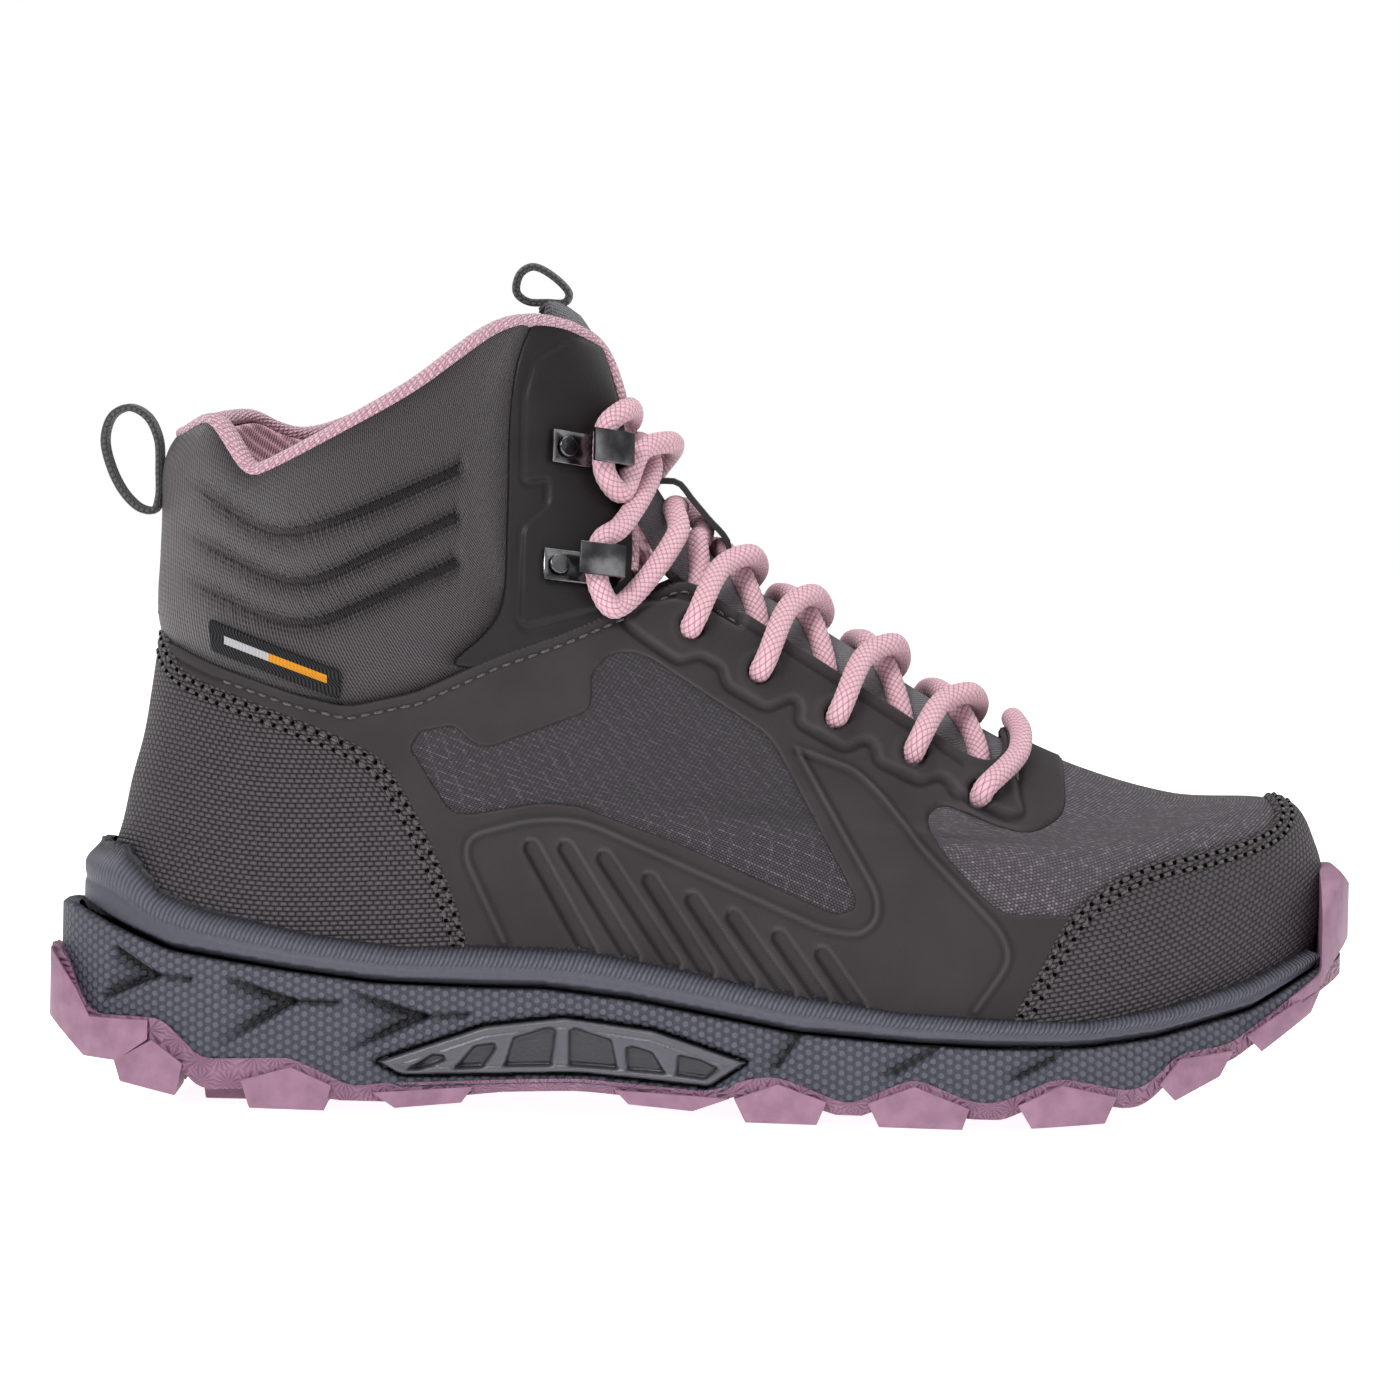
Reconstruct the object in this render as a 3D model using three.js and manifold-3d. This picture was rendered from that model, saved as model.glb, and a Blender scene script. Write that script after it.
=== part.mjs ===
// Women's mid hiking boot, right foot. Millimetres, +Z up, toe towards +X, outer (lateral) side -Y.
// The origin is on the ground under the middle of the boot. The upper is built as layers of one
// lasted form: each panel is a layer of that form, cut to its outline as seen from the side.
import * as THREE from 'three';
import { mergeVertices } from 'three/addons/utils/BufferGeometryUtils.js';
import Module from 'manifold-3d';

const wasm = await Module();
wasm.setup();

// ---------------------------------------------------------------- driving dimensions
const GAP = 0.3; // between pieces that touch
const PANEL = 1.6; // thickness of the outer panels
const BACKING = 1.4; // thickness of the puff, stiffener and padding layer
const LINING = 1.4; // thickness of the lining
const TONGUE = 4.2; // thickness of the tongue
const TONGUE_SINK = 2.2; // depth of the tongue's face under the form
const TONGUE_HALF = 18; // half width of the tongue
const LACE_ZONE = 4; // how far the lining and padding stay back from the tongue's outline
const SHAFT_SLOT = 13; // half width of the front opening of the shaft
const EDGE_ROLL = 2.8; // height of the rolled binding on the shaft's edge

const RAND_OUT = 3.2; // how far the rand stands out from the lasted form
const RAND_LIP = 3; // how far the rand reaches in under the upper
const CORE_OUT = 4.6; // how far the midsole core stands out
const SOLE_OUT = 5.0; // how far the outsole stands out
const RAND_FLARE = 1.5; // extra length of the rand behind the heel
const HEEL_FLARE = 5.2; // extra length of the core behind the heel
const SOLE_FLARE = 7.2; // extra length of the outsole behind the heel
const RIM = 3.0; // thickness of the outsole's rim
const LUG_DEPTH = 21; // how far the side lugs reach in from the sole's edge
const BUMPER_DEPTH = 8; // how far the toe bumper reaches in under the toe
const PLATE = 3.0; // thickness of the arch plates
const PLATE_PROUD = 0.6; // how far an arch plate stands out of the core
const WINDOW_DEPTH = 1.3; // depth of the windows in the arch plates
const BASE_LIFT = 0.2; // the lasting board's rise over the lasting line
const BOARD = 1.8; // thickness of the lasting board
const FOOTBED = 4.0; // thickness of the footbed
const SHANK_WIDTH = 15;
const SHANK_THICK = 1.6;

const LACE = 4.9; // diameter of the lace
const LACE_STEPS = 110; // straight steps along the lace
const LACE_SIDES = 8;
const ROOM_SIDES = 6; // sides of the room cut round it
const LACE_CLEARANCE = 0.4; // room round the lace where it passes through a piece
const AGLET = { length: 18, diameter: 4.4, room: 1.2, sides: 10 }; // room: slack along it
const WEBBING = 1.6; // thickness of the pull loops
const KEEPER_WEBBING = 1.28; // thickness of the lace keeper
const HEEL_LOOP_WIDTH = 13;
const TONGUE_LOOP_WIDTH = 12;
const STRAP = 1.0; // thickness of the back strap
const LABEL = 0.8; // thickness of the woven label

const SEAT_RISE = 0.5; // a hook's flat plate stands off the curved panel
const HOOK = { height: 7.4, metal: 1.0, lip: 10.5, plate: 16.5, throat: 6.6 };
const RIVET = { head: 4.6, shank: 2.4, rise: 0.8, behind: 4.8, grip: 1.5, sides: 12 };
// behind: its place behind the plate's middle. grip: room for the panel between the plate and its tail.

// Ribs of the lasted form, from the lasting line up: back point, front point (x, z), the share of the
// base line's sag, the crown over the foot, the share of the sway, and half widths from back to front.
const RIBS = [
  { back: [-133, 42], front: [136, 33], sag: 1, crown: 0, lean: 1, half: [43, 39, 34.5, 42, 53, 50] },
  { back: [-132, 50], front: [138.5, 47], sag: 0.75, crown: 0, lean: 1,
    half: [43, 39, 34.5, 41.5, 52, 50] },
  { back: [-129, 60], front: [136.5, 60], sag: 0.5, crown: 1, lean: 1, half: [42, 38.5, 34, 40, 50, 47] },
  { back: [-127, 70], front: [128.5, 70.5], sag: 0.3, crown: 4, lean: 0.8,
    half: [41, 37.5, 33.5, 38, 46, 43] },
  { back: [-124.5, 80], front: [104, 72], sag: 0.15, crown: 6, lean: 0.5,
    half: [40, 37, 33.5, 36.5, 42, 39] },
  { back: [-123, 90], front: [78, 79.5], sag: 0.05, crown: 4, lean: 0.2,
    half: [39, 36.5, 33.5, 35.5, 37, 32] },
  { back: [-122, 98], front: [53, 92], sag: 0, crown: 2, lean: 0, half: [38, 36, 34, 34.5, 33, 27] },
  { back: [-121, 107], front: [31, 105.5], sag: 0, crown: 0, lean: 0, half: [38, 36, 34, 34, 31, 25] },
  { back: [-120.3, 118], front: [8, 119], sag: 0, crown: 0, lean: 0, half: [38, 36, 35, 34, 30, 24] },
  { back: [-120, 129], front: [-6, 132.5], sag: 0, crown: 0, lean: 0, half: [38, 37, 36, 34.5, 30, 24] },
  { back: [-120, 140], front: [-14, 146], sag: 0, crown: 0, lean: 0, half: [38, 37.5, 37, 35, 31, 25] },
  { back: [-117.5, 150], front: [-19.5, 161], sag: 0, crown: 0, lean: 0, half: [38, 38, 37.5, 36, 32, 27] },
  { back: [-113.5, 160], front: [-29, 182], sag: 0, crown: 0, lean: 0, half: [38, 38, 38, 37, 33, 29] },
];
const BASE_SAG = [0, -8.5, -11, -12, -13.5, -15.5, -17.5, -17.5, -12.5, 0]; // evenly from heel to toe
const SWAY = [0, -0.5, -1.5, -2.5, -1.5, 5]; // sideways sway of the form's middle, evenly from heel to toe
const END_ROUND = 2.3; // exponent of the rounded heel and toe
const AROUND = 26; // points round a rib
const ROWS = 12; // ribs in the built surface

// Outlines as seen from the side, (x, z).
const GROOVE = [[-142, 43.5], [-128, 37.5], [-117, 33.5], [-90, 30], [-71, 28], [-48, 27.5], [-34, 27.5],
  [-15, 25.5], [3, 22.5], [21, 19.5], [44, 18], [63, 17.5], [85, 18], [100, 20], [122, 25.5], [137, 33.5]];
const RAND_TOP = [[-142, 57], [-129.5, 55.5], [-120.5, 46.5], [-110, 43], [-85, 38.5], [-66, 36.5],
  [-48, 37], [-26, 36.5], [-5, 33], [17.5, 28.5], [44, 25], [66, 24.2], [85, 24], [104, 27], [122, 32],
  [137, 38]];
const WAVE = [[-142, 32], [-140, 31.5], [-137, 24], [-134, 19], [-118, 19], [-109, 10.5], [-89, 11.5],
  [-75.5, 5.5], [-70, 6.5], [-40, 8], [-26, 8.5], [2.5, 6.5], [10.5, 9.5], [17, 10.5], [33, 4.7],
  [45.5, 10.5], [48.5, 10.5], [60, 6], [66, 6.3], [77, 11.5], [81, 11.5], [93, 9], [97.5, 10], [105, 17],
  [116, 18.5], [128.5, 27], [137, 33]];
const SHANK_TOP = [[-82, 28], [-60, 26.8], [-34, 26], [-15, 24], [3, 21], [20, 18.4]];
const PUFF = [[88, 0], [88, 50], [96, 60], [112, 90], [170, 90], [170, 0]];
const STIFFENER = [[-150, 92], [-112, 92], [-90, 84], [-74, 74], [-66, 60], [-62, 0], [-150, 0]];
const VAMP = [[44, 100], [44, 30], [110, 10], [150, 60], [125, 90]];
const TOE_CAP_EDGE = [[67.5, 24], [72, 31.5], [78.5, 44.5], [81.5, 48], [86, 52], [95, 57.5], [115, 61.5],
  [124.5, 64.5], [127.5, 67.5], [126, 70.5], [122, 75]];
const HEEL_PANEL_EDGE = [[-125, 107.5], [-121.5, 106.5], [-118, 98], [-114, 94], [-97, 88], [-80, 82],
  [-70.5, 77.5], [-66, 71.5], [-59.5, 60], [-54, 48], [-49.5, 34]];
const QUARTER_TOP = [[-126, 103], [-117.5, 100], [-108, 96], [-90.5, 90.5], [-78.5, 88], [-63.5, 91.5],
  [-47, 99.5], [-32.5, 105], [-17, 112], [-7.5, 117], [-3.5, 117], [0.5, 114.5]];
const THROAT = [[0.5, 114.5], [60, 78.5], [66, 79]];
const BIB_FRONT = [[66, 84], [80, 79], [80, 68.5], [76, 65.5], [71, 64], [64, 65.5], [54, 69.5], [51.5, 69.5],
  [48.5, 67], [52, 60], [62.5, 48.5], [67, 46.5], [78, 46.5]];
const WINDOW = [[-64.5, 79.5], [-62.5, 83], [-55, 84.5], [-52.5, 82], [-49.5, 80], [-46.5, 80], [-26, 88],
  [-25, 90], [-25, 96.5], [-21.5, 100.5], [-16.5, 101.5], [-12, 100], [13, 84.5], [15.5, 81.5],
  [33.5, 49], [33, 46.5], [29, 45.5], [-5.5, 60], [-27.5, 67.5], [-36, 68], [-52, 65], [-55.5, 66],
  [-60, 72.5]];
const HOOK_PANEL_BACK = [[-36, 180], [-42.5, 166], [-44, 152], [-44, 132], [-44.5, 112], [-48, 105],
  [-58, 97]];
const EDGE_HEEL = [[-130, 145], [-118, 146.5], [-113, 150], [-110, 150.5]];
const EDGE_BACK_OUTER = [...EDGE_HEEL, [-107, 147], [-101.5, 138.5], [-97, 140], [-81.5, 148.5], [-65, 158]];
const EDGE_BACK_INNER = [...EDGE_HEEL, [-105, 151], [-99, 147.5], [-92, 146], [-81.5, 149.5], [-65, 158]];
const EDGE_FRONT = [[-55.5, 165.5], [-47, 172], [-39, 174], [-30, 172.5], [-23.5, 168], [-20.5, 160.5],
  [-19, 155], [-18.5, 144], [-16, 124], [-16.5, 118], [-12, 90]];
const TONGUE_SIDE = [[-52, 171], [-45, 175.3], [-38, 176.2], [-30, 175], [-15, 170], [20, 140], [80, 95],
  [75, 68], [58, 66], [28, 80], [-12, 101], [-34, 122], [-46, 145]];
const ARCH_PLATE = [[-71, 11], [-47, 19.5], [-29.5, 21.8], [-10, 19.5], [11, 13], [2.5, 7], [-26, 9.2],
  [-65, 7.8]];
const ARCH_WINDOWS = [[[-64, 9.2], [-61, 9.2], [-55, 11.5], [-55.5, 12.8], [-58, 13]],
  [[-53.5, 9.6], [-47, 10], [-44, 14.5], [-44.5, 15.7], [-49, 15]],
  [[-42.5, 10.4], [-32, 10.8], [-31, 18.8], [-33, 19.3], [-40.5, 17]],
  [[-28.2, 10.8], [-17.5, 10.4], [-19, 17], [-27, 19.3], [-28.5, 18.8]],
  [[-15.5, 10.2], [-7, 9.8], [-10, 14.5], [-14.5, 15.8], [-16, 15.3]],
  [[-5, 9.6], [1.5, 8.8], [4.5, 11.5], [0.5, 13.3], [-4.5, 14.2]]];

// Side lugs: outline (x, z), wide on top under the rim and flat or tilted on the ground.
const SIDE_LUGS = [
  [[-120, 14], [-128.5, 9], [-127, 4.5], [-114.5, 2], [-113, 9]],
  [[-89, 9.2], [-100, 6], [-98, 0], [-81.5, 0], [-80, 5.5]],
  [[-71, 4.2], [-66, 1], [-51.5, 2.5], [-49, 6]],
  [[-18, 6], [-15, 3], [-1, 2], [7, 5]],
  [[17.5, 8.5], [8, 5], [10.5, 0], [26, 0], [28, 5]],
  [[47, 9], [37, 5], [39.5, 0], [57.5, 0], [59, 4.5]],
  [[79, 10], [69.5, 5.5], [72.5, 0.6], [88.5, 1.8], [91, 7.5]],
  [[105, 15.5], [100.5, 10], [104, 6.5], [114, 11.5], [117, 17]],
];
const HEEL_LUG = [[-144, 32.5], [-144, 17.5], [-135.5, 9.5], [-128, 9], [-121, 14], [-121, 18.2],
  [-134.3, 18.2], [-137.5, 24]];
const TOE_LUG = [[120, 20], [123.5, 16.5], [135, 24.5], [137.5, 30], [129, 25.5]];
const TOE_BUMPER = [[124, 21.5], [136.5, 29], [140, 35], [146, 42], [146, 50], [141, 56], [137.3, 55.5],
  [137.3, 33], [128.5, 26.4]];
const CENTRE_LUGS = [[-104, 0], [-86, 0], [14, 0], [31, 0], [48, 0], [65, 0.3], [82, 0.9]];
const CENTRE_LUG = [9.5, 17]; // length along the boot and half width across it

const HOOKS_AT = [[-29, 144.8], [-28.5, 118.6]]; // middle of each hook's plate
const LABEL_AT = [[-108, 99.5], [-108, 106.5], [-79.5, 95.8], [-80, 89.5]];

const HEEL_LOOP_PATH = [[-122.4, 132.5], [-123.4, 129.6], [-126.4, 129.8], [-130.3, 133.3], [-133.5, 139.5],
  [-134.7, 145.5], [-133, 150.5], [-129.3, 152.2], [-125.4, 150.3], [-122.9, 145.5], [-122.4, 138]];
const STRAP_SPAN = [108, 126.5]; // height of the back strap's ends
const TONGUE_LOOP_PATH = [[-41.5, 177.6], [-43.9, 179.6], [-43.2, 183.6], [-40.5, 185.3], [-36.3, 183.6],
  [-32.2, 179.4], [-33, 177.6], [-37, 177.4]];
const KEEPER_SPAN = [0.68, 0.79]; // the lace keeper's ends, as places up the form's front
const KEEPER_WIDTH = 10;
const KEEPER_RISE = 4; // how far the keeper arches over the tongue
const BINDING_FOOT = 118.6; // height of the binding's lower ends

const INK = 0x2b2a2e;
const FILM = 0x3b3736;
const CANVAS = 0x4c474e;
const BALLISTIC = 0x45413f;
const COLLAR = 0x47413f;
const COATED = 0x262425;
const WOVEN = 0x1d1d20;
const SLATE = 0x4b4d5b;
const MAUVE = 0x96738a;
const PINK = 0xd8a0ac;
const FIBREBOARD = 0xb9a98c;
const THERMOPLASTIC = 0xcfc8b8;
const FOAM = 0x8c8784;
const STEEL = 0x55565c;

// The lace's middle line, from one tip tucked behind the outer flap to the other behind the inner one.
const LACE_PATH = [
  [-21, -14, 133], [-24.5, -14, 138.5], [-24.5, -12.5, 143.5], [-21.5, -8, 147.5], [-18, -7.5, 151.5],
  [-18, -12.5, 154], [-20, -19, 153.5], [-23, -23, 150.5], [-23.5, -24.5, 145.5], [-23, -25.5, 140],
  [-19.5, -22.5, 136], [-15.5, -15.5, 145], [-10, -7.5, 147], [-8.5, 5, 145.5], [-12, 12, 140.5],
  [-19.5, 27, 128.5], [-23.5, 31.5, 125.5], [-24.5, 33.5, 120.5], [-23.5, 35, 115], [-20.5, 34, 111],
  [-7, 17, 127], [-5.5, 14.5, 132], [-1.5, 6, 128.5], [-1.5, 0, 126], [-2.5, -6, 125.5],
  [-2, -13.5, 117.5], [-4, -22, 107], [-4, -27, 106], [-2.5, -29, 109], [3, -18, 120],
  [9, -10.5, 122.5], [11, -2, 120], [10, 7, 117], [6, 14.5, 112], [11.5, 21.5, 97.5], [11.5, 26.5, 97],
  [13, 28.5, 100], [15, 17.5, 112], [16.5, 8.5, 113.5], [19.5, 0, 112.5], [23, -7.5, 108.5],
  [26, -14, 100], [28, -21.5, 87], [28.5, -26.5, 87], [30, -28.5, 90.5], [35, -18, 101],
  [41, -10.5, 103.5], [43, -1.5, 101], [42.5, 7, 97.5], [38, 14, 92.5], [45.5, 21, 79],
  [45.5, 26, 79.5], [47, 27.5, 83], [49, 17.5, 91.5], [51, 8.5, 93], [53.5, 0, 92], [57, -7.5, 88],
  [60.5, -14.5, 80], [60, -24, 70], [60.5, -29, 70.5], [61.5, -32, 73], [69, -19.5, 80],
  [70, -10, 84.5], [68.5, -0.5, 87], [69.5, 10, 85], [69.5, 19.5, 80.5], [61.5, 32, 73], [60.5, 29, 71],
  [60.5, 24, 70.5], [55.5, 14.5, 83], [60, 7, 87.5], [60.5, -2, 91], [58, -10.5, 93], [52, -18, 91],
  [47, -27.5, 83], [45.5, -26, 79.5], [45, -21, 79], [43, -14.5, 89.5], [40, -7.5, 98], [36, 0, 103],
  [34, 8.5, 103.5], [32, 17.5, 102], [30, 28.5, 90.5], [28.5, 26.5, 87], [28, 21.5, 87.5],
  [21, 14, 103.5], [25.5, 7, 108], [25.5, -2, 111.5], [23, -10.5, 114], [18, -18, 111.5],
  [13, -28.5, 100], [11.5, -26.5, 97], [11.5, -21.5, 97.5], [11, -14, 109], [8, -8, 117], [4.5, 0, 122],
  [1.5, 8.5, 123.5], [0, 17.5, 121], [-2.5, 29, 109], [-4, 27, 106], [-4, 22, 107], [-2, 13.5, 117.5],
  [-9.5, 11, 128.5], [-8.5, 6, 132], [-7, 0, 132.5], [-8, -6.5, 132.5], [-7, -17, 127],
  [-20.5, -34, 111], [-23.5, -35, 115], [-24.5, -33.5, 120.5], [-23.5, -31.5, 125.5],
  [-19.5, -27, 128.5], [-13, -9.5, 140.5], [-14, -3, 144.5], [-15.5, 6, 146.5], [-17, 15, 145.5],
  [-19.5, 22.5, 136], [-23, 25.5, 140], [-23.5, 24.5, 145.5], [-23, 23, 150.5], [-20, 19, 153.5],
  [-18, 12.5, 154], [-18, 7.5, 151.5], [-21.5, 8, 147.5], [-24.5, 12.5, 143.5], [-24.5, 14, 138.5],
  [-21, 14, 133],
];

// ---------------------------------------------------------------- form

const lerp = THREE.MathUtils.lerp;

// Catmull-Rom value at place s (0 to 1) in an evenly spaced list of numbers.
function along(values, s) {
  const last = values.length - 1;
  const place = THREE.MathUtils.clamp(s, 0, 1) * last;
  const i = Math.min(Math.floor(place), last - 1);
  const t = place - i;
  const p1 = values[i];
  const p2 = values[i + 1];
  const p0 = i > 0 ? values[i - 1] : 2 * p1 - p2;
  const p3 = i + 2 <= last ? values[i + 2] : 2 * p2 - p1;
  return 0.5 * (2 * p1 + (p2 - p0) * t + (2 * p0 - 5 * p1 + 4 * p2 - p3) * t * t
    + (3 * p1 - p0 - 3 * p2 + p3) * t * t * t);
}

const ribValue = (pick, v) => along(RIBS.map(pick), v);

// Point of the form: turn 0 is the toe ridge, half a turn is the heel; v runs from lasting line to top.
function formPoint(turn, v) {
  const angle = 2 * Math.PI * turn;
  const power = 2 / END_ROUND;
  const c = Math.sign(Math.cos(angle)) * Math.abs(Math.cos(angle)) ** power;
  const s = Math.sign(Math.sin(angle)) * Math.abs(Math.sin(angle)) ** power;
  const t = 0.5 + 0.5 * c;
  const width = along([0, 1, 2, 3, 4, 5].map((k) => ribValue((rib) => rib.half[k], v)), t);
  const y = s * width;
  const x = lerp(ribValue((rib) => rib.back[0], v), ribValue((rib) => rib.front[0], v), t);
  const chord = lerp(ribValue((rib) => rib.back[1], v), ribValue((rib) => rib.front[1], v), t);
  const sag = along(BASE_SAG, t) * ribValue((rib) => rib.sag, v);
  const crown = ribValue((rib) => rib.crown, v) * (y / 30) ** 2 * t * t;
  const lean = along(SWAY, t) * ribValue((rib) => rib.lean, v);
  return new THREE.Vector3(x, y + lean, chord + sag - crown);
}

function formNormal(turn, v) {
  const du = formPoint(turn + 0.002, v).sub(formPoint(turn - 0.002, v));
  const low = Math.max(v - 0.004, 0);
  const high = Math.min(v + 0.004, 1);
  const dv = formPoint(turn, high).sub(formPoint(turn, low));
  return du.cross(dv).normalize();
}

const formOffset = (turn, v, depth) => formPoint(turn, v).addScaledVector(formNormal(turn, v), -depth);

// Surface point and outward normal nearest to (x, z) on one side of the form (side -1 outer, +1 inner).
function onForm(x, z, side, depth = 0) {
  let best = null;
  for (let i = 1; i < 200; i += 1) {
    for (let j = 0; j <= 160; j += 1) {
      const turn = side > 0 ? i / 400 : 1 - i / 400;
      const point = formPoint(turn, j / 160);
      const miss = Math.hypot(point.x - x, point.z - z);
      if (!best || miss < best.miss) best = { miss, turn, v: j / 160 };
    }
  }
  const normal = formNormal(best.turn, best.v);
  return { point: formPoint(best.turn, best.v).addScaledVector(normal, -depth), normal };
}

// ---------------------------------------------------------------- solids

function solidFrom(vertices, triangles) {
  const mesh = new wasm.Mesh({
    numProp: 3,
    vertProperties: new Float32Array(vertices),
    triVerts: new Uint32Array(triangles),
  });
  return new wasm.Manifold(mesh);
}

function solidOf(geometry) {
  geometry.deleteAttribute('normal');
  geometry.deleteAttribute('uv');
  const merged = mergeVertices(geometry, 1e-4);
  return solidFrom(merged.attributes.position.array, merged.index.array);
}

// The closed form at a depth under its surface, stretched past its lasting line and its top.
function formSolid(depth, below = 0, above = 0) {
  const rings = [];
  for (let j = 0; j <= ROWS; j += 1) {
    const ring = [];
    for (let i = 0; i < AROUND; i += 1) ring.push(formOffset(i / AROUND, j / ROWS, depth));
    rings.push(ring);
  }
  const moved = (ring, rise) => ring.map((point) => point.clone().setZ(point.z + rise));
  if (below > 0) rings.unshift(moved(rings[0], -below));
  if (above > 0) rings.push(moved(rings.at(-1), above));
  const last = rings.length - 1;
  const at = (i, j) => j * AROUND + (i % AROUND);
  const triangles = [];
  for (let j = 0; j < last; j += 1) {
    for (let i = 0; i < AROUND; i += 1) {
      triangles.push(at(i, j), at(i + 1, j), at(i + 1, j + 1));
      triangles.push(at(i, j), at(i + 1, j + 1), at(i, j + 1));
    }
  }
  for (let i = 0; i < AROUND / 2; i += 1) {
    const far = AROUND - i;
    if (i > 0) triangles.push(at(i, 0), at(far, 0), at(i + 1, 0));
    if (i > 0) triangles.push(at(i, last), at(i + 1, last), at(far, last));
    if (i < AROUND / 2 - 1) triangles.push(at(i + 1, 0), at(far, 0), at(far - 1, 0));
    if (i < AROUND / 2 - 1) triangles.push(at(i + 1, last), at(far - 1, last), at(far, last));
  }
  return solidFrom(rings.flat().flatMap((point) => point.toArray()), triangles);
}

const shell = (from, to) => formSolid(from).subtract(formSolid(to, 15, 15));

function outlineShape(points) {
  const shape = new THREE.Shape(points.map(([x, z]) => new THREE.Vector2(x, z)));
  if (THREE.ShapeUtils.isClockWise(shape.getPoints())) {
    return new THREE.Shape([...points].reverse().map(([x, z]) => new THREE.Vector2(x, z)));
  }
  return shape;
}

// An outline in the side view, extruded from y = from to y = to.
function sidePrism(points, from = -80, to = 80) {
  const geometry = new THREE.ExtrudeGeometry(outlineShape(points), { depth: to - from, bevelEnabled: false });
  geometry.rotateX(Math.PI / 2);
  geometry.translate(0, to, 0);
  return solidOf(geometry);
}

// An outline moved outwards by a distance.
function grown(points, distance) {
  const ring = points.map(([x, z]) => new THREE.Vector2(x, z));
  const turn = THREE.ShapeUtils.isClockWise(ring) ? 1 : -1;
  return ring.map((point, i) => {
    const before = point.clone().sub(ring[(i + ring.length - 1) % ring.length]).normalize();
    const after = ring[(i + 1) % ring.length].clone().sub(point).normalize();
    const normal = new THREE.Vector2(-(before.y + after.y), before.x + after.x).normalize();
    const miter = Math.max(0.5, normal.x * -before.y + normal.y * before.x);
    return [point.x + (turn * normal.x * distance) / miter, point.y + (turn * normal.y * distance) / miter];
  });
}

// The sole's outline from above, standing out from the lasting line by a distance.
function planPrism(out, flare = 0) {
  const points = [];
  for (let i = 0; i < AROUND; i += 1) {
    const turn = i / AROUND;
    const normal = formNormal(turn, 0.06);
    const flat = new THREE.Vector2(normal.x, normal.y).normalize();
    const heel = Math.max(0, -Math.cos(2 * Math.PI * turn)) ** 6;
    const point = formPoint(turn, 0.06);
    const reach = out + flare * heel;
    points.push([point.x + flat.x * reach, point.y + flat.y * reach]);
  }
  const shape = new THREE.Shape(points.map(([x, y]) => new THREE.Vector2(x, y)));
  return solidOf(new THREE.ExtrudeGeometry(shape, { depth: 90, bevelEnabled: false }).translate(0, 0, -5));
}

const below = (line, floor = -10) => [...line, [line.at(-1)[0], floor], [line[0][0], floor]];
const above = (line, roof = 220) => [...line, [line.at(-1)[0], roof], [line[0][0], roof]];
const shifted = (line, rise) => line.map(([x, z]) => [x, z + rise]);
const outerHalf = sidePrism([[-200, -50], [200, -50], [200, 250], [-200, 250]], -90, 0);

// ---------------------------------------------------------------- group

const group = new THREE.Group();

// Adds a solid's largest body as a named mesh.
function place(name, solid, color, roughness, metalness = 0) {
  const pieces = solid.decompose().sort((a, b) => b.volume() - a.volume());
  const { vertProperties, triVerts } = pieces[0].getMesh();
  const geometry = new THREE.BufferGeometry();
  geometry.setAttribute('position', new THREE.BufferAttribute(new Float32Array(vertProperties), 3));
  geometry.setIndex(new THREE.BufferAttribute(new Uint32Array(triVerts), 1));
  const material = new THREE.MeshStandardMaterial({ color, roughness, metalness });
  const mesh = new THREE.Mesh(geometry, material);
  mesh.name = name;
  group.add(mesh);
  return mesh;
}

// ---------------------------------------------------------------- sole unit

const formRoom = formSolid(-GAP, GAP, 0);
const randBand = sidePrism(below(RAND_TOP)).subtract(sidePrism(below(shifted(GROOVE, GAP / 2))));
const rand = planPrism(RAND_OUT, RAND_FLARE).intersect(randBand).subtract(formRoom)
  .subtract(planPrism(-RAND_LIP)).subtract(sidePrism(grown(TOE_BUMPER, GAP)));
place('midsole_rand', rand, SLATE, 0.6);

const shankStrip = (grow, rise) => {
  const line = [[SHANK_TOP[0][0] - grow, SHANK_TOP[0][1]], ...SHANK_TOP.slice(1, -1),
    [SHANK_TOP.at(-1)[0] + grow, SHANK_TOP.at(-1)[1]]];
  const half = SHANK_WIDTH / 2 + grow;
  return sidePrism([...shifted(line, rise), ...shifted(line, -SHANK_THICK - grow).reverse()], -half, half);
};
const windowsPrism = (list) => list.map((outline) => sidePrism(outline)).reduce((a, b) => a.add(b));
const plateBand = (from, to) => planPrism(to, HEEL_FLARE).subtract(planPrism(from, HEEL_FLARE));
const plateInner = CORE_OUT + PLATE_PROUD - PLATE;
const archPlates = plateBand(plateInner, CORE_OUT + PLATE_PROUD).intersect(sidePrism(ARCH_PLATE))
  .subtract(plateBand(CORE_OUT + PLATE_PROUD - WINDOW_DEPTH, 30).intersect(windowsPrism(ARCH_WINDOWS)));
const archPocket = plateBand(plateInner - GAP, 30).intersect(sidePrism(grown(ARCH_PLATE, GAP)));
const core = planPrism(CORE_OUT, HEEL_FLARE).intersect(sidePrism(below(shifted(GROOVE, -GAP / 2))))
  .subtract(sidePrism(below(WAVE))).subtract(formRoom).subtract(archPocket)
  .subtract(shankStrip(GAP, 6)).subtract(sidePrism(grown(TOE_BUMPER, GAP)));
place('midsole_core', core, SLATE, 0.7);
place('arch_plate_lateral', archPlates.intersect(outerHalf), SLATE, 0.45);
place('arch_plate_medial', archPlates.subtract(outerHalf), SLATE, 0.45);
place('shank', shankStrip(0, 0), STEEL, 0.4, 0.9);

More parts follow.
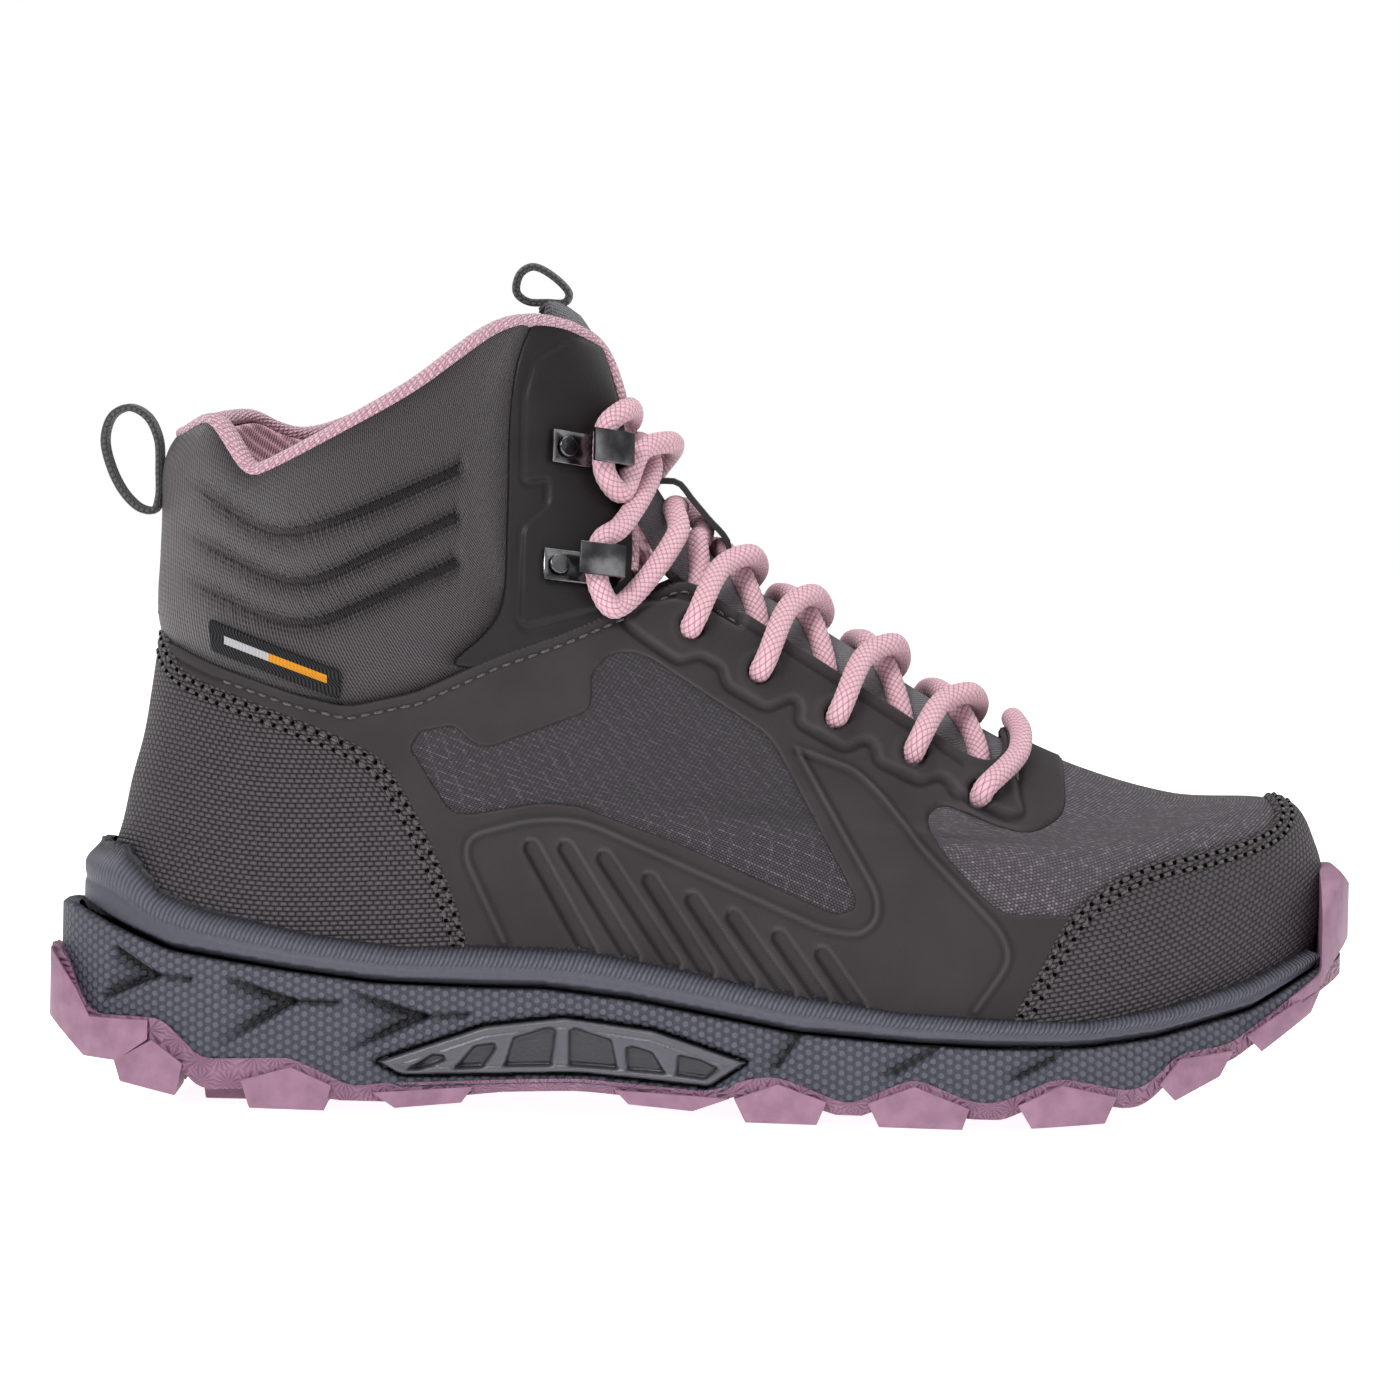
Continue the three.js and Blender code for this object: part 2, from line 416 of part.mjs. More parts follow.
const solePlan = planPrism(SOLE_OUT, SOLE_FLARE);
const rimBand = sidePrism(below(shifted(WAVE, -GAP))).subtract(sidePrism(below(shifted(WAVE, -GAP - RIM))));
const sideStrip = solePlan.subtract(planPrism(SOLE_OUT - LUG_DEPTH));
let outsole = solePlan.intersect(rimBand);
for (const lug of SIDE_LUGS) outsole = outsole.add(sideStrip.intersect(sidePrism(lug)));
for (const [x, z] of CENTRE_LUGS) {
  const [half, reach] = [CENTRE_LUG[0] / 2, CENTRE_LUG[1]];
  const block = [[x - half, z], [x + half, z], [x + half + 1, z + 8], [x - half - 1, z + 8]];
  outsole = outsole.add(sidePrism(block, -reach, reach));
}
outsole = outsole.add(solePlan.intersect(sidePrism(HEEL_LUG)));
outsole = outsole.add(solePlan.intersect(sidePrism(TOE_LUG)));
outsole = outsole.add(solePlan.intersect(sidePrism(TOE_BUMPER)).subtract(planPrism(-BUMPER_DEPTH)));
outsole = outsole.subtract(core).subtract(formSolid(-GAP, 0, 0).intersect(sidePrism(TOE_BUMPER)))
  .subtract(sidePrism(above(shifted(WAVE, -GAP))).subtract(sidePrism(TOE_BUMPER)));
place('outsole', outsole, MAUVE, 0.75);

// ---------------------------------------------------------------- lasted bottom

const liningDepth = PANEL + GAP + BACKING + GAP;
const innerDepth = liningDepth + LINING;
const bottomSlab = (depth, low, high) => formSolid(depth, 0, 0)
  .subtract(formSolid(depth, 0, 0).translate(0, 0, high)).intersect(formSolid(depth).translate(0, 0, low));
const board = bottomSlab(innerDepth + GAP, BASE_LIFT, BASE_LIFT + BOARD);
place('lasting_board', board, FIBREBOARD, 0.9);
const bedLow = BASE_LIFT + BOARD + GAP;
const footbed = bottomSlab(innerDepth + 2 * GAP, bedLow, bedLow + FOOTBED)
  .subtract(board.translate(0, 0, GAP));
place('footbed', footbed, PINK, 0.95);

// ---------------------------------------------------------------- upper

const edgeOuter = [...EDGE_BACK_OUTER, ...EDGE_FRONT];
const edgeInner = [...EDGE_BACK_INNER, ...EDGE_FRONT];
const shaftOff = (edge) => [...edge.slice(0, -1), [60, 118], [60, 230], [-150, 230], [-150, 145]];
function bothSides(make) {
  return make(edgeOuter).intersect(outerHalf).add(make(edgeInner).subtract(outerHalf));
}
const slotBox = (half) => solidOf(new THREE.BoxGeometry(90, 2 * half, 140).translate(5, 0, 185));
const throatOff = [...QUARTER_TOP.slice(-3), ...THROAT.slice(1), [66, 100], [66, 240], [-16.5, 240],
  [-16.5, 118]];
const shaftCut = (grow) => bothSides((edge) => sidePrism(grown(shaftOff(edge), grow)));
const slot = slotBox(SHAFT_SLOT);

const quarterOutline = [...QUARTER_TOP, ...THROAT.slice(1), [66, 90], [80, 86], ...BIB_FRONT.slice(2),
  [92, 46], [92, 0], [-140, 0], [-140, 103]];
const toeCapOutline = [...TOE_CAP_EDGE, [122, 90], [170, 90], [170, 0], [67.5, 0]];
const heelOutline = [...HEEL_PANEL_EDGE, [-49.5, 0], [-160, 0], [-160, 107.5]];
const hookOutline = [...HOOK_PANEL_BACK, [10, 97], [10, 180]];

const outer = shell(0, PANEL);
const middle = shell(PANEL + GAP, PANEL + GAP + BACKING);
const lining = shell(liningDepth, innerDepth);
const thick = shell(0, PANEL + GAP + BACKING);

const toeCap = sidePrism(toeCapOutline);
const heelPanel = sidePrism(heelOutline);
const windowCut = sidePrism(WINDOW);
const quarter = sidePrism(quarterOutline);
const nearToe = sidePrism(grown(toeCapOutline, GAP));
const nearHeel = sidePrism(grown(heelOutline, GAP));
const nearQuarter = sidePrism(grown(quarterOutline, GAP));
const nearHook = sidePrism(grown(hookOutline, GAP));
const throat = sidePrism(throatOff);
const aboveQuarter = sidePrism(above(shifted(QUARTER_TOP, GAP)));

// ---------------------------------------------------------------- lace

const laceCurve = new THREE.CatmullRomCurve3(LACE_PATH.map((point) => new THREE.Vector3(...point)), false,
  'centripetal');

function laceTube(radius, sides) {
  const section = Array.from({ length: sides }, (_, i) => {
    const angle = (2 * Math.PI * i) / sides;
    return new THREE.Vector2(radius * Math.cos(angle), radius * Math.sin(angle));
  });
  const options = { steps: LACE_STEPS, extrudePath: laceCurve, bevelEnabled: false };
  return solidOf(new THREE.ExtrudeGeometry(new THREE.Shape(section), options));
}

// A lace tip, or with grow the room round it.
function aglet(end, grow = 0) {
  const tip = laceCurve.getPointAt(end);
  const out = laceCurve.getTangentAt(end).multiplyScalar(end > 0 ? 1 : -1);
  const radius = AGLET.diameter / 2 + grow;
  const length = AGLET.length + (grow > 0 ? AGLET.room : 0);
  const cylinder = new THREE.CylinderGeometry(radius, radius, length, AGLET.sides);
  cylinder.applyQuaternion(new THREE.Quaternion().setFromUnitVectors(new THREE.Vector3(0, 1, 0), out));
  const middle = tip.addScaledVector(out, AGLET.length / 2 + GAP);
  return solidOf(cylinder.translate(middle.x, middle.y, middle.z));
}

const roomRadius = (LACE / 2 + LACE_CLEARANCE) / Math.cos(Math.PI / ROOM_SIDES);
const lace = laceTube(LACE / 2, LACE_SIDES);
const laceRoom = laceTube(roomRadius, ROOM_SIDES).add(lace).add(aglet(0, GAP)).add(aglet(1, GAP));
place('lace', lace, PINK, 0.85);
place('aglet_lateral', aglet(0), PINK, 0.4);
place('aglet_medial', aglet(1), PINK, 0.4);

// ---------------------------------------------------------------- panels

place('toe_cap', outer.intersect(toeCap), BALLISTIC, 0.85);
place('heel_panel', outer.intersect(heelPanel), BALLISTIC, 0.85);
const windows = outer.intersect(sidePrism(grown(WINDOW, -GAP)));
place('side_window_lateral', windows.intersect(outerHalf), CANVAS, 0.9);
place('side_window_medial', windows.subtract(outerHalf), CANVAS, 0.9);
const quarterSkin = outer.intersect(quarter).subtract(nearToe).subtract(nearHeel).subtract(windowCut)
  .subtract(throat);
place('quarter_overlay', quarterSkin.subtract(laceRoom), FILM, 0.8);
place('vamp', outer.intersect(sidePrism(VAMP)).subtract(nearToe).subtract(nearQuarter), CANVAS, 0.9);

const edgeCut = shaftCut(EDGE_ROLL + GAP);
const shaftPieces = (solid) => solid.subtract(nearQuarter).subtract(nearHeel).subtract(edgeCut);
const hookPanels = shaftPieces(outer.intersect(sidePrism(hookOutline)))
  .subtract(slotBox(SHAFT_SLOT + EDGE_ROLL));
const collar = shaftPieces(thick.intersect(aboveQuarter)).subtract(nearHook);
place('ankle_collar', collar.subtract(laceRoom), COLLAR, 0.8);

const tongueRoom = (grow) => sidePrism(grown(TONGUE_SIDE, grow))
  .intersect(solidOf(new THREE.BoxGeometry(400, 2 * (TONGUE_HALF + grow), 400)));
const laceZone = sidePrism(grown(TONGUE_SIDE, LACE_ZONE));
place('toe_puff', middle.intersect(sidePrism(PUFF)), THERMOPLASTIC, 0.8);
place('heel_stiffener', middle.intersect(sidePrism(STIFFENER)), THERMOPLASTIC, 0.8);
const paddingSkin = middle.subtract(aboveQuarter).subtract(sidePrism(above(QUARTER_TOP)))
  .subtract(sidePrism(grown(PUFF, GAP))).subtract(sidePrism(grown(STIFFENER, GAP))).subtract(laceZone);
place('padding', paddingSkin, FOAM, 0.95);
const liningSkin = lining.subtract(edgeCut).subtract(laceZone);
place('lining', liningSkin, PINK, 0.95);
const rollZone = shaftCut(EDGE_ROLL).add(slotBox(SHAFT_SLOT + EDGE_ROLL - GAP));
const binding = shell(0, innerDepth).intersect(rollZone).subtract(shaftCut(0)).subtract(slot)
  .subtract(tongueRoom(GAP))
  .intersect(sidePrism([[-150, BINDING_FOOT], [60, BINDING_FOOT], [60, 230], [-150, 230]]));
place('collar_binding', binding.subtract(laceRoom), PINK, 0.9);
const tongueSolid = shell(TONGUE_SINK, TONGUE_SINK + TONGUE).intersect(tongueRoom(0)).subtract(laceRoom);
place('tongue', tongueSolid, INK, 0.9);

// ---------------------------------------------------------------- straps and loops

// One edge of a strap whose middle line is a path in the side view.
function strapEdge(path, offset, closed) {
  const curve = new THREE.CatmullRomCurve3(path.map(([x, z]) => new THREE.Vector3(x, z, 0)), closed);
  const count = closed ? 30 : 16;
  return Array.from({ length: closed ? count : count + 1 }, (_, i) => {
    const point = curve.getPointAt(i / count);
    const tangent = curve.getTangentAt(i / count);
    return [point.x - tangent.y * offset, point.y + tangent.x * offset];
  });
}

// A strap sewn into a ring.
function ringStrap(path, thickness, width) {
  const edges = [strapEdge(path, thickness / 2, true), strapEdge(path, -thickness / 2, true)];
  const size = (edge) => Math.abs(THREE.ShapeUtils.area(edge.map(([x, z]) => new THREE.Vector2(x, z))));
  edges.sort((a, b) => size(b) - size(a));
  return sidePrism(edges[0], -width / 2, width / 2).subtract(sidePrism(edges[1], -width, width));
}

// A strap with two loose ends.
function openStrap(path, thickness, width) {
  const over = strapEdge(path, thickness / 2, false);
  const under = strapEdge(path, -thickness / 2, false).reverse();
  return sidePrism([...over, ...under], -width / 2, width / 2);
}

place('heel_loop', ringStrap(HEEL_LOOP_PATH, WEBBING, HEEL_LOOP_WIDTH), INK, 0.9);
place('tongue_loop', ringStrap(TONGUE_LOOP_PATH, WEBBING, TONGUE_LOOP_WIDTH), INK, 0.9);
const strapRoom = solidOf(new THREE.BoxGeometry(40, HEEL_LOOP_WIDTH, STRAP_SPAN[1] - STRAP_SPAN[0])
  .translate(-125, 0, (STRAP_SPAN[0] + STRAP_SPAN[1]) / 2));
place('back_strap', shell(-GAP - STRAP, -GAP).intersect(strapRoom), INK, 0.9);

const keeperPath = [0, 0.12, 0.4, 0.65, 0.88, 1].map((s, i, all) => {
  const foot = i === 0 || i === all.length - 1;
  const depth = TONGUE_SINK - GAP - WEBBING / 2 - (foot ? 0 : KEEPER_RISE - 4 * (s - 0.5) ** 2);
  const point = formOffset(0, lerp(KEEPER_SPAN[0], KEEPER_SPAN[1], s), depth);
  return [point.x, point.z];
});
place('lace_keeper', openStrap(keeperPath, KEEPER_WEBBING, KEEPER_WIDTH).subtract(laceRoom), INK, 0.9);
const label = shell(-2 * GAP - LABEL, -2 * GAP).intersect(sidePrism(LABEL_AT)).intersect(outerHalf);
place('label_flap', label, WOVEN, 0.8);

// ---------------------------------------------------------------- hooks

// Frame on the form at (x, z): forward along the surface, outward, and across.
function seat(x, z, side) {
  const { point, normal } = onForm(x, z, side);
  const forward = new THREE.Vector3(1, 0, 0).addScaledVector(normal, -normal.x).normalize();
  const basis = new THREE.Matrix4().makeBasis(forward, normal, forward.clone().cross(normal));
  return basis.setPosition(point.addScaledVector(normal, SEAT_RISE));
}

function hookGeometry() {
  const { height, metal, lip, plate, throat: room } = HOOK;
  const front = plate / 2;
  const top = GAP + metal + room + metal;
  const profile = [[-front, GAP], [front, GAP], [front, top], [front - lip, top], [front - lip, top - metal],
    [front - metal, top - metal], [front - metal, GAP + metal], [-front, GAP + metal]];
  const shape = new THREE.Shape(profile.map(([a, b]) => new THREE.Vector2(a, b)));
  const strip = new THREE.ExtrudeGeometry(shape, { depth: height, bevelEnabled: false });
  return strip.translate(0, 0, -height / 2);
}

function disc(diameter, low, high) {
  const cylinder = new THREE.CylinderGeometry(diameter / 2, diameter / 2, high - low, RIVET.sides);
  return cylinder.translate(-RIVET.behind, (low + high) / 2, 0);
}

const rivetFront = 2 * GAP + HOOK.metal;
const rivetBack = -PANEL - SEAT_RISE - RIVET.grip;
const rivetHole = disc(RIVET.shank + 2 * GAP, -6, 6);
const panelHoles = [];
for (const [side, word] of [[-1, 'lateral'], [1, 'medial']]) {
  HOOKS_AT.forEach(([x, z], i) => {
    const matrix = seat(x, z, side);
    const level = i === 0 ? 'upper' : 'lower';
    const hook = solidOf(hookGeometry()).subtract(solidOf(rivetHole.clone()));
    const rivet = solidOf(disc(RIVET.head, rivetFront, rivetFront + RIVET.rise))
      .add(solidOf(disc(RIVET.shank, rivetBack - 0.1, rivetFront + 0.1)))
      .add(solidOf(disc(RIVET.head, rivetBack - RIVET.rise, rivetBack)));
    panelHoles.push(solidOf(rivetHole.clone().applyMatrix4(matrix)));
    place(`lace_hook_${level}_${word}`, hook, STEEL, 0.3, 1).applyMatrix4(matrix);
    place(`hook_rivet_${level}_${word}`, rivet, STEEL, 0.3, 1).applyMatrix4(matrix);
  });
}
const holes = panelHoles.reduce((a, b) => a.add(b));
const punched = hookPanels.subtract(holes).subtract(laceRoom);
place('hook_panel_lateral', punched.intersect(outerHalf), COATED, 0.55);
place('hook_panel_medial', punched.subtract(outerHalf), COATED, 0.55);

// The origin goes on the ground under the middle of the boot.
const reach = new THREE.Box3().setFromObject(group);
const middleOf = reach.getCenter(new THREE.Vector3());
group.position.set(-middleOf.x, -middleOf.y, -reach.min.z);

export default group;
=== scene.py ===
import math

import bpy
import numpy as np
from mathutils import Matrix, Quaternion, Vector


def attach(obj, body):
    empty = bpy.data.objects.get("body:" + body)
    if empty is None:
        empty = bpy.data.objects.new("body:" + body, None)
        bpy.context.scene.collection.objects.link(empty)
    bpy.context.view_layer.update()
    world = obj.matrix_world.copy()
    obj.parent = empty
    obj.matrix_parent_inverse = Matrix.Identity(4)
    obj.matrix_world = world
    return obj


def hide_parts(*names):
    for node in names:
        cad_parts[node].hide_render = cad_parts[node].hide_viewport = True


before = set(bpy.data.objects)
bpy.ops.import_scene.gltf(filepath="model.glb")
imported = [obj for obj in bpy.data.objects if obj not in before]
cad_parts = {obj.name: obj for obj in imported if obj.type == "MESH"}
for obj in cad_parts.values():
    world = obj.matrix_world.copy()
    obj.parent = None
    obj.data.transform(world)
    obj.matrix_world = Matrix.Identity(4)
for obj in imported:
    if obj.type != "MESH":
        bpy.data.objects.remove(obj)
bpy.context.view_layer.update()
bpy.ops.object.select_all(action="DESELECT")

# ---------------------------------------------------------------- camera, floor and light
# The boot stands on a pale sweep and is seen square from its outer side through a long lens.
# Large soft boxes light it from the front, from above and from behind both ends.
scene = bpy.context.scene
scene.view_settings.view_transform = "Standard"
LOOK_AT = Vector((-0.0008, 0.0023, 0.0897))
VIEW_DISTANCE = 1.8
VIEW_WIDTH = 0.312
VIEW_HEIGHT_ANGLE = math.radians(2.5)
VIEW_ROLL = math.radians(1.2)
SENSOR = 36
LAMP_AIM = Vector((0, 0, 0.08))
STUDIO_LIGHT = 0.30  # what the white studio adds to the lamps
BACKDROP = 1.0  # how bright its walls are seen

bpy.ops.object.camera_add()
camera = bpy.context.object
camera.name = "camera"
camera.data.sensor_width = SENSOR
camera.data.lens = SENSOR * VIEW_DISTANCE / VIEW_WIDTH
away = Vector((0, -math.cos(VIEW_HEIGHT_ANGLE), math.sin(VIEW_HEIGHT_ANGLE)))
camera.location = LOOK_AT + VIEW_DISTANCE * away
camera.rotation_mode = "QUATERNION"
camera.rotation_quaternion = (-away).to_track_quat("-Z", "Y") @ Quaternion((0, 0, 1), VIEW_ROLL)
scene.camera = camera

for label, place, size, power in (
    ("key", (-0.7, -1.5, 1.3), 0.55, 25),
    ("fill", (1.1, -1.3, 0.7), 1.0, 4),
    ("overhead", (0.1, 0.1, 1.5), 0.9, 11),
    ("back_heel", (-1.2, 1.1, 0.9), 0.9, 6),
    ("back_toe", (1.3, 1.0, 0.9), 0.9, 6),
):
    bpy.ops.object.light_add(type="AREA", location=place)
    lamp = bpy.context.object
    lamp.name = "light_" + label
    lamp.data.size = size
    lamp.data.energy = power
    lamp.rotation_euler = (Vector(place) - LAMP_AIM).to_track_quat("Z", "Y").to_euler()

world = bpy.data.worlds.new("studio")
scene.world = world
world.use_nodes = True
background = world.node_tree.nodes["Background"]
background.inputs["Color"].default_value = (1, 1, 1, 1)
seen = world.node_tree.nodes.new("ShaderNodeLightPath").outputs["Is Camera Ray"]
wall_light = world.node_tree.nodes.new("ShaderNodeMapRange")
wall_light.inputs["To Min"].default_value = STUDIO_LIGHT
wall_light.inputs["To Max"].default_value = BACKDROP
world.node_tree.links.new(seen, wall_light.inputs["Value"])
world.node_tree.links.new(wall_light.outputs[0], background.inputs["Strength"])


def new_material(name, colour, roughness, **fixed):
    """A Principled material; fixed are values set straight on the shader's own inputs."""
    material = bpy.data.materials.new(name)
    material.use_nodes = True
    shader = material.node_tree.nodes["Principled BSDF"]
    shader.inputs["Base Color"].default_value = (*colour, 1)
    shader.inputs["Roughness"].default_value = roughness
    for key, value in fixed.items():
        shader.inputs[key.replace("_", " ")].default_value = value
    return material


FLOOR_SIZE = 9
FLOOR_DROP = 0.0002  # keeps the floor clear of the lugs' flat faces
FLOOR_GLOW = 0.85  # lifts the floor to the backdrop's white
bpy.ops.mesh.primitive_plane_add(size=FLOOR_SIZE, location=(0, 0, -FLOOR_DROP))
floor = bpy.context.object
floor.name = "floor"
floor.data.transform(floor.matrix_world)
floor.matrix_world = Matrix.Identity(4)
pale = new_material("pale_floor", (0.88, 0.88, 0.88), 0.9)
pale_shader = pale.node_tree.nodes["Principled BSDF"]
pale_shader.inputs["Emission Color"].default_value = (1, 1, 1, 1)
pale_shader.inputs["Emission Strength"].default_value = FLOOR_GLOW
floor.data.materials.append(pale)

# ---------------------------------------------------------------- lace
# One round lace of pink polyester, braided over a core, 4.9 mm thick and 1.2 m long. It runs from a
# tip tucked behind the outer flap down through the hooks and eyelets and back up the inner side.
LACE_RADIUS = 0.00245
LACE_STEP = 0.00045
LACE_SIDES = 20
BRAID_AROUND = 10  # grains round the lace
BRAID_PITCH = 0.0016  # length of a grain
BRAID_RELIEF = 0.00016
LACE_PINK = (0.70, 0.42, 0.48)
LACE_SHADE = (0.33, 0.14, 0.19)
LAST_ORIGIN = Vector((0.43670654e-3, 2.33271027e-3, 0))  # the last's own origin in the boot's frame
# The lace's middle line: the same points as in the part's source, in metres from the last's origin.
LACE_ROUTE = (
    (-0.021, -0.014, 0.133), (-0.0245, -0.014, 0.1385), (-0.0245, -0.0125, 0.1435),
    (-0.0215, -0.008, 0.1475), (-0.018, -0.0075, 0.1515), (-0.018, -0.0125, 0.154),
    (-0.02, -0.019, 0.1535), (-0.023, -0.023, 0.1505), (-0.0235, -0.0245, 0.1455),
    (-0.023, -0.0255, 0.14), (-0.0195, -0.0225, 0.136), (-0.0155, -0.0155, 0.145),
    (-0.01, -0.0075, 0.147), (-0.0085, 0.005, 0.1455), (-0.012, 0.012, 0.1405),
    (-0.0195, 0.027, 0.1285), (-0.0235, 0.0315, 0.1255), (-0.0245, 0.0335, 0.1205),
    (-0.0235, 0.035, 0.115), (-0.0205, 0.034, 0.111), (-0.007, 0.017, 0.127), (-0.0055, 0.0145, 0.132),
    (-0.0015, 0.006, 0.1285), (-0.0015, 0, 0.126), (-0.0025, -0.006, 0.1255), (-0.002, -0.0135, 0.1175),
    (-0.004, -0.022, 0.107), (-0.004, -0.027, 0.106), (-0.0025, -0.029, 0.109), (0.003, -0.018, 0.12),
    (0.009, -0.0105, 0.1225), (0.011, -0.002, 0.12), (0.01, 0.007, 0.117), (0.006, 0.0145, 0.112),
    (0.0115, 0.0215, 0.0975), (0.0115, 0.0265, 0.097), (0.013, 0.0285, 0.1), (0.015, 0.0175, 0.112),
    (0.0165, 0.0085, 0.1135), (0.0195, 0, 0.1125), (0.023, -0.0075, 0.1085), (0.026, -0.014, 0.1),
    (0.028, -0.0215, 0.087), (0.0285, -0.0265, 0.087), (0.03, -0.0285, 0.0905), (0.035, -0.018, 0.101),
    (0.041, -0.0105, 0.1035), (0.043, -0.0015, 0.101), (0.0425, 0.007, 0.0975), (0.038, 0.014, 0.0925),
    (0.0455, 0.021, 0.079), (0.0455, 0.026, 0.0795), (0.047, 0.0275, 0.083), (0.049, 0.0175, 0.0915),
    (0.051, 0.0085, 0.093), (0.0535, 0, 0.092), (0.057, -0.0075, 0.088), (0.0605, -0.0145, 0.08),
    (0.06, -0.024, 0.07), (0.0605, -0.029, 0.0705), (0.0615, -0.032, 0.073), (0.069, -0.0195, 0.08),
    (0.07, -0.01, 0.0845), (0.0685, -0.0005, 0.087), (0.0695, 0.01, 0.085), (0.0695, 0.0195, 0.0805),
    (0.0615, 0.032, 0.073), (0.0605, 0.029, 0.071), (0.0605, 0.024, 0.0705), (0.0555, 0.0145, 0.083),
    (0.06, 0.007, 0.0875), (0.0605, -0.002, 0.091), (0.058, -0.0105, 0.093), (0.052, -0.018, 0.091),
    (0.047, -0.0275, 0.083), (0.0455, -0.026, 0.0795), (0.045, -0.021, 0.079), (0.043, -0.0145, 0.0895),
    (0.04, -0.0075, 0.098), (0.036, 0, 0.103), (0.034, 0.0085, 0.1035), (0.032, 0.0175, 0.102),
    (0.03, 0.0285, 0.0905), (0.0285, 0.0265, 0.087), (0.028, 0.0215, 0.0875), (0.021, 0.014, 0.1035),
    (0.0255, 0.007, 0.108), (0.0255, -0.002, 0.1115), (0.023, -0.0105, 0.114), (0.018, -0.018, 0.1115),
    (0.013, -0.0285, 0.1), (0.0115, -0.0265, 0.097), (0.0115, -0.0215, 0.0975), (0.011, -0.014, 0.109),
    (0.008, -0.008, 0.117), (0.0045, 0, 0.122), (0.0015, 0.0085, 0.1235), (0, 0.0175, 0.121),
    (-0.0025, 0.029, 0.109), (-0.004, 0.027, 0.106), (-0.004, 0.022, 0.107), (-0.002, 0.0135, 0.1175),
    (-0.0095, 0.011, 0.1285), (-0.0085, 0.006, 0.132), (-0.007, 0, 0.1325), (-0.008, -0.0065, 0.1325),
    (-0.007, -0.017, 0.127), (-0.0205, -0.034, 0.111), (-0.0235, -0.035, 0.115),
    (-0.0245, -0.0335, 0.1205), (-0.0235, -0.0315, 0.1255), (-0.0195, -0.027, 0.1285),
    (-0.013, -0.0095, 0.1405), (-0.014, -0.003, 0.1445), (-0.0155, 0.006, 0.1465),
    (-0.017, 0.015, 0.1455), (-0.0195, 0.0225, 0.136), (-0.023, 0.0255, 0.14),
    (-0.0235, 0.0245, 0.1455), (-0.023, 0.023, 0.1505), (-0.02, 0.019, 0.1535), (-0.018, 0.0125, 0.154),
    (-0.018, 0.0075, 0.1515), (-0.0215, 0.008, 0.1475), (-0.0245, 0.0125, 0.1435),
    (-0.0245, 0.014, 0.1385), (-0.021, 0.014, 0.133),
)


def route_curve(points, step, parts=24):
    """Centripetal curve through the points, at even steps; parts is how finely each stretch is cut."""
    points = [Vector(point) for point in points]
    ends = [2 * points[0] - points[1], *points, 2 * points[-1] - points[-2]]
    line = []
    for p0, p1, p2, p3 in zip(ends, ends[1:], ends[2:], ends[3:]):
        t0, t1, t2 = ((b - a).length ** 0.5 for a, b in ((p0, p1), (p1, p2), (p2, p3)))
        out = ((p1 - p0) / t0 - (p2 - p0) / (t0 + t1) + (p2 - p1) / t1) * t1
        into = ((p2 - p1) / t1 - (p3 - p1) / (t1 + t2) + (p3 - p2) / t2) * t1
        for k in range(parts):
            t = k / parts
            line.append(
                p1 * (2 * t**3 - 3 * t**2 + 1) + out * (t**3 - 2 * t**2 + t)
                + p2 * (3 * t**2 - 2 * t**3) + into * (t**3 - t**2)
            )
    line = np.array([*line, points[-1]])
    run = run_of(line)
    even = np.linspace(0, run[-1], max(2, round(run[-1] / step)) + 1)
    return np.stack([np.interp(even, run, line[:, k]) for k in range(3)], axis=1)


def new_piece(name, vertices, faces):
    """A smooth object at the origin with the given corners (metres) and faces."""
    mesh = bpy.data.meshes.new(name)
    mesh.from_pydata(vertices, [], faces)
    piece = bpy.data.objects.new(name, mesh)
    scene.collection.objects.link(piece)
    mesh.shade_smooth()
    return piece


def run_of(line):
    """How far along a line of points each of them lies."""
    return np.concatenate([[0], np.cumsum(np.linalg.norm(np.diff(line, axis=0), axis=1))])


def add_cloth_uv(mesh, u, v):
    """The cloth coordinates of the mesh's first corners; any left over (end caps) stay at nought."""
    coordinates = np.zeros((len(mesh.loops), 2))
    coordinates[: len(u)] = np.stack([u, v], axis=1)
    mesh.uv_layers.new(name="cloth").data.foreach_set("uv", coordinates.ravel())


def sweep(name, line, around, radii_at):
    """A round tube along a line of points; radii_at(k, angles) gives its radii at point k."""
    line = np.asarray(line, float)
    count = len(line)
    tangent = np.gradient(line, axis=0)
    tangent /= np.linalg.norm(tangent, axis=1)[:, None]
    side = np.cross(tangent[0], (0.3, 0.2, 1.0))
    sides = []
    for k in range(count):
        side = side - tangent[k] * (side @ tangent[k])
        side /= np.linalg.norm(side)
        sides.append(side)
    sides = np.array(sides)
    up = np.cross(tangent, sides)
    angle = 2 * math.pi * np.arange(around) / around
    radii = np.array([radii_at(k, angle) for k in range(count)])
    ring = sides[:, None, :] * (np.cos(angle) * radii)[:, :, None]
    ring = line[:, None, :] + ring + up[:, None, :] * (np.sin(angle) * radii)[:, :, None]
    k, j = np.meshgrid(np.arange(count - 1), np.arange(around), indexing="ij")
    near, far = k * around, (k + 1) * around
    ahead = (j + 1) % around
    faces = np.stack([near + j, near + ahead, far + ahead, far + j], axis=-1).reshape(-1, 4).tolist()
    faces += [list(range(around))[::-1], [(count - 1) * around + i for i in range(around)]]
    piece = new_piece(name, ring.reshape(-1, 3).tolist(), faces)
    run = run_of(line)
    u = np.stack([j, j + 1, j + 1, j], axis=-1).reshape(-1) / around
    v = run[np.stack([k, k, k + 1, k + 1], axis=-1).reshape(-1)]
    add_cloth_uv(piece.data, u, v)
    return piece


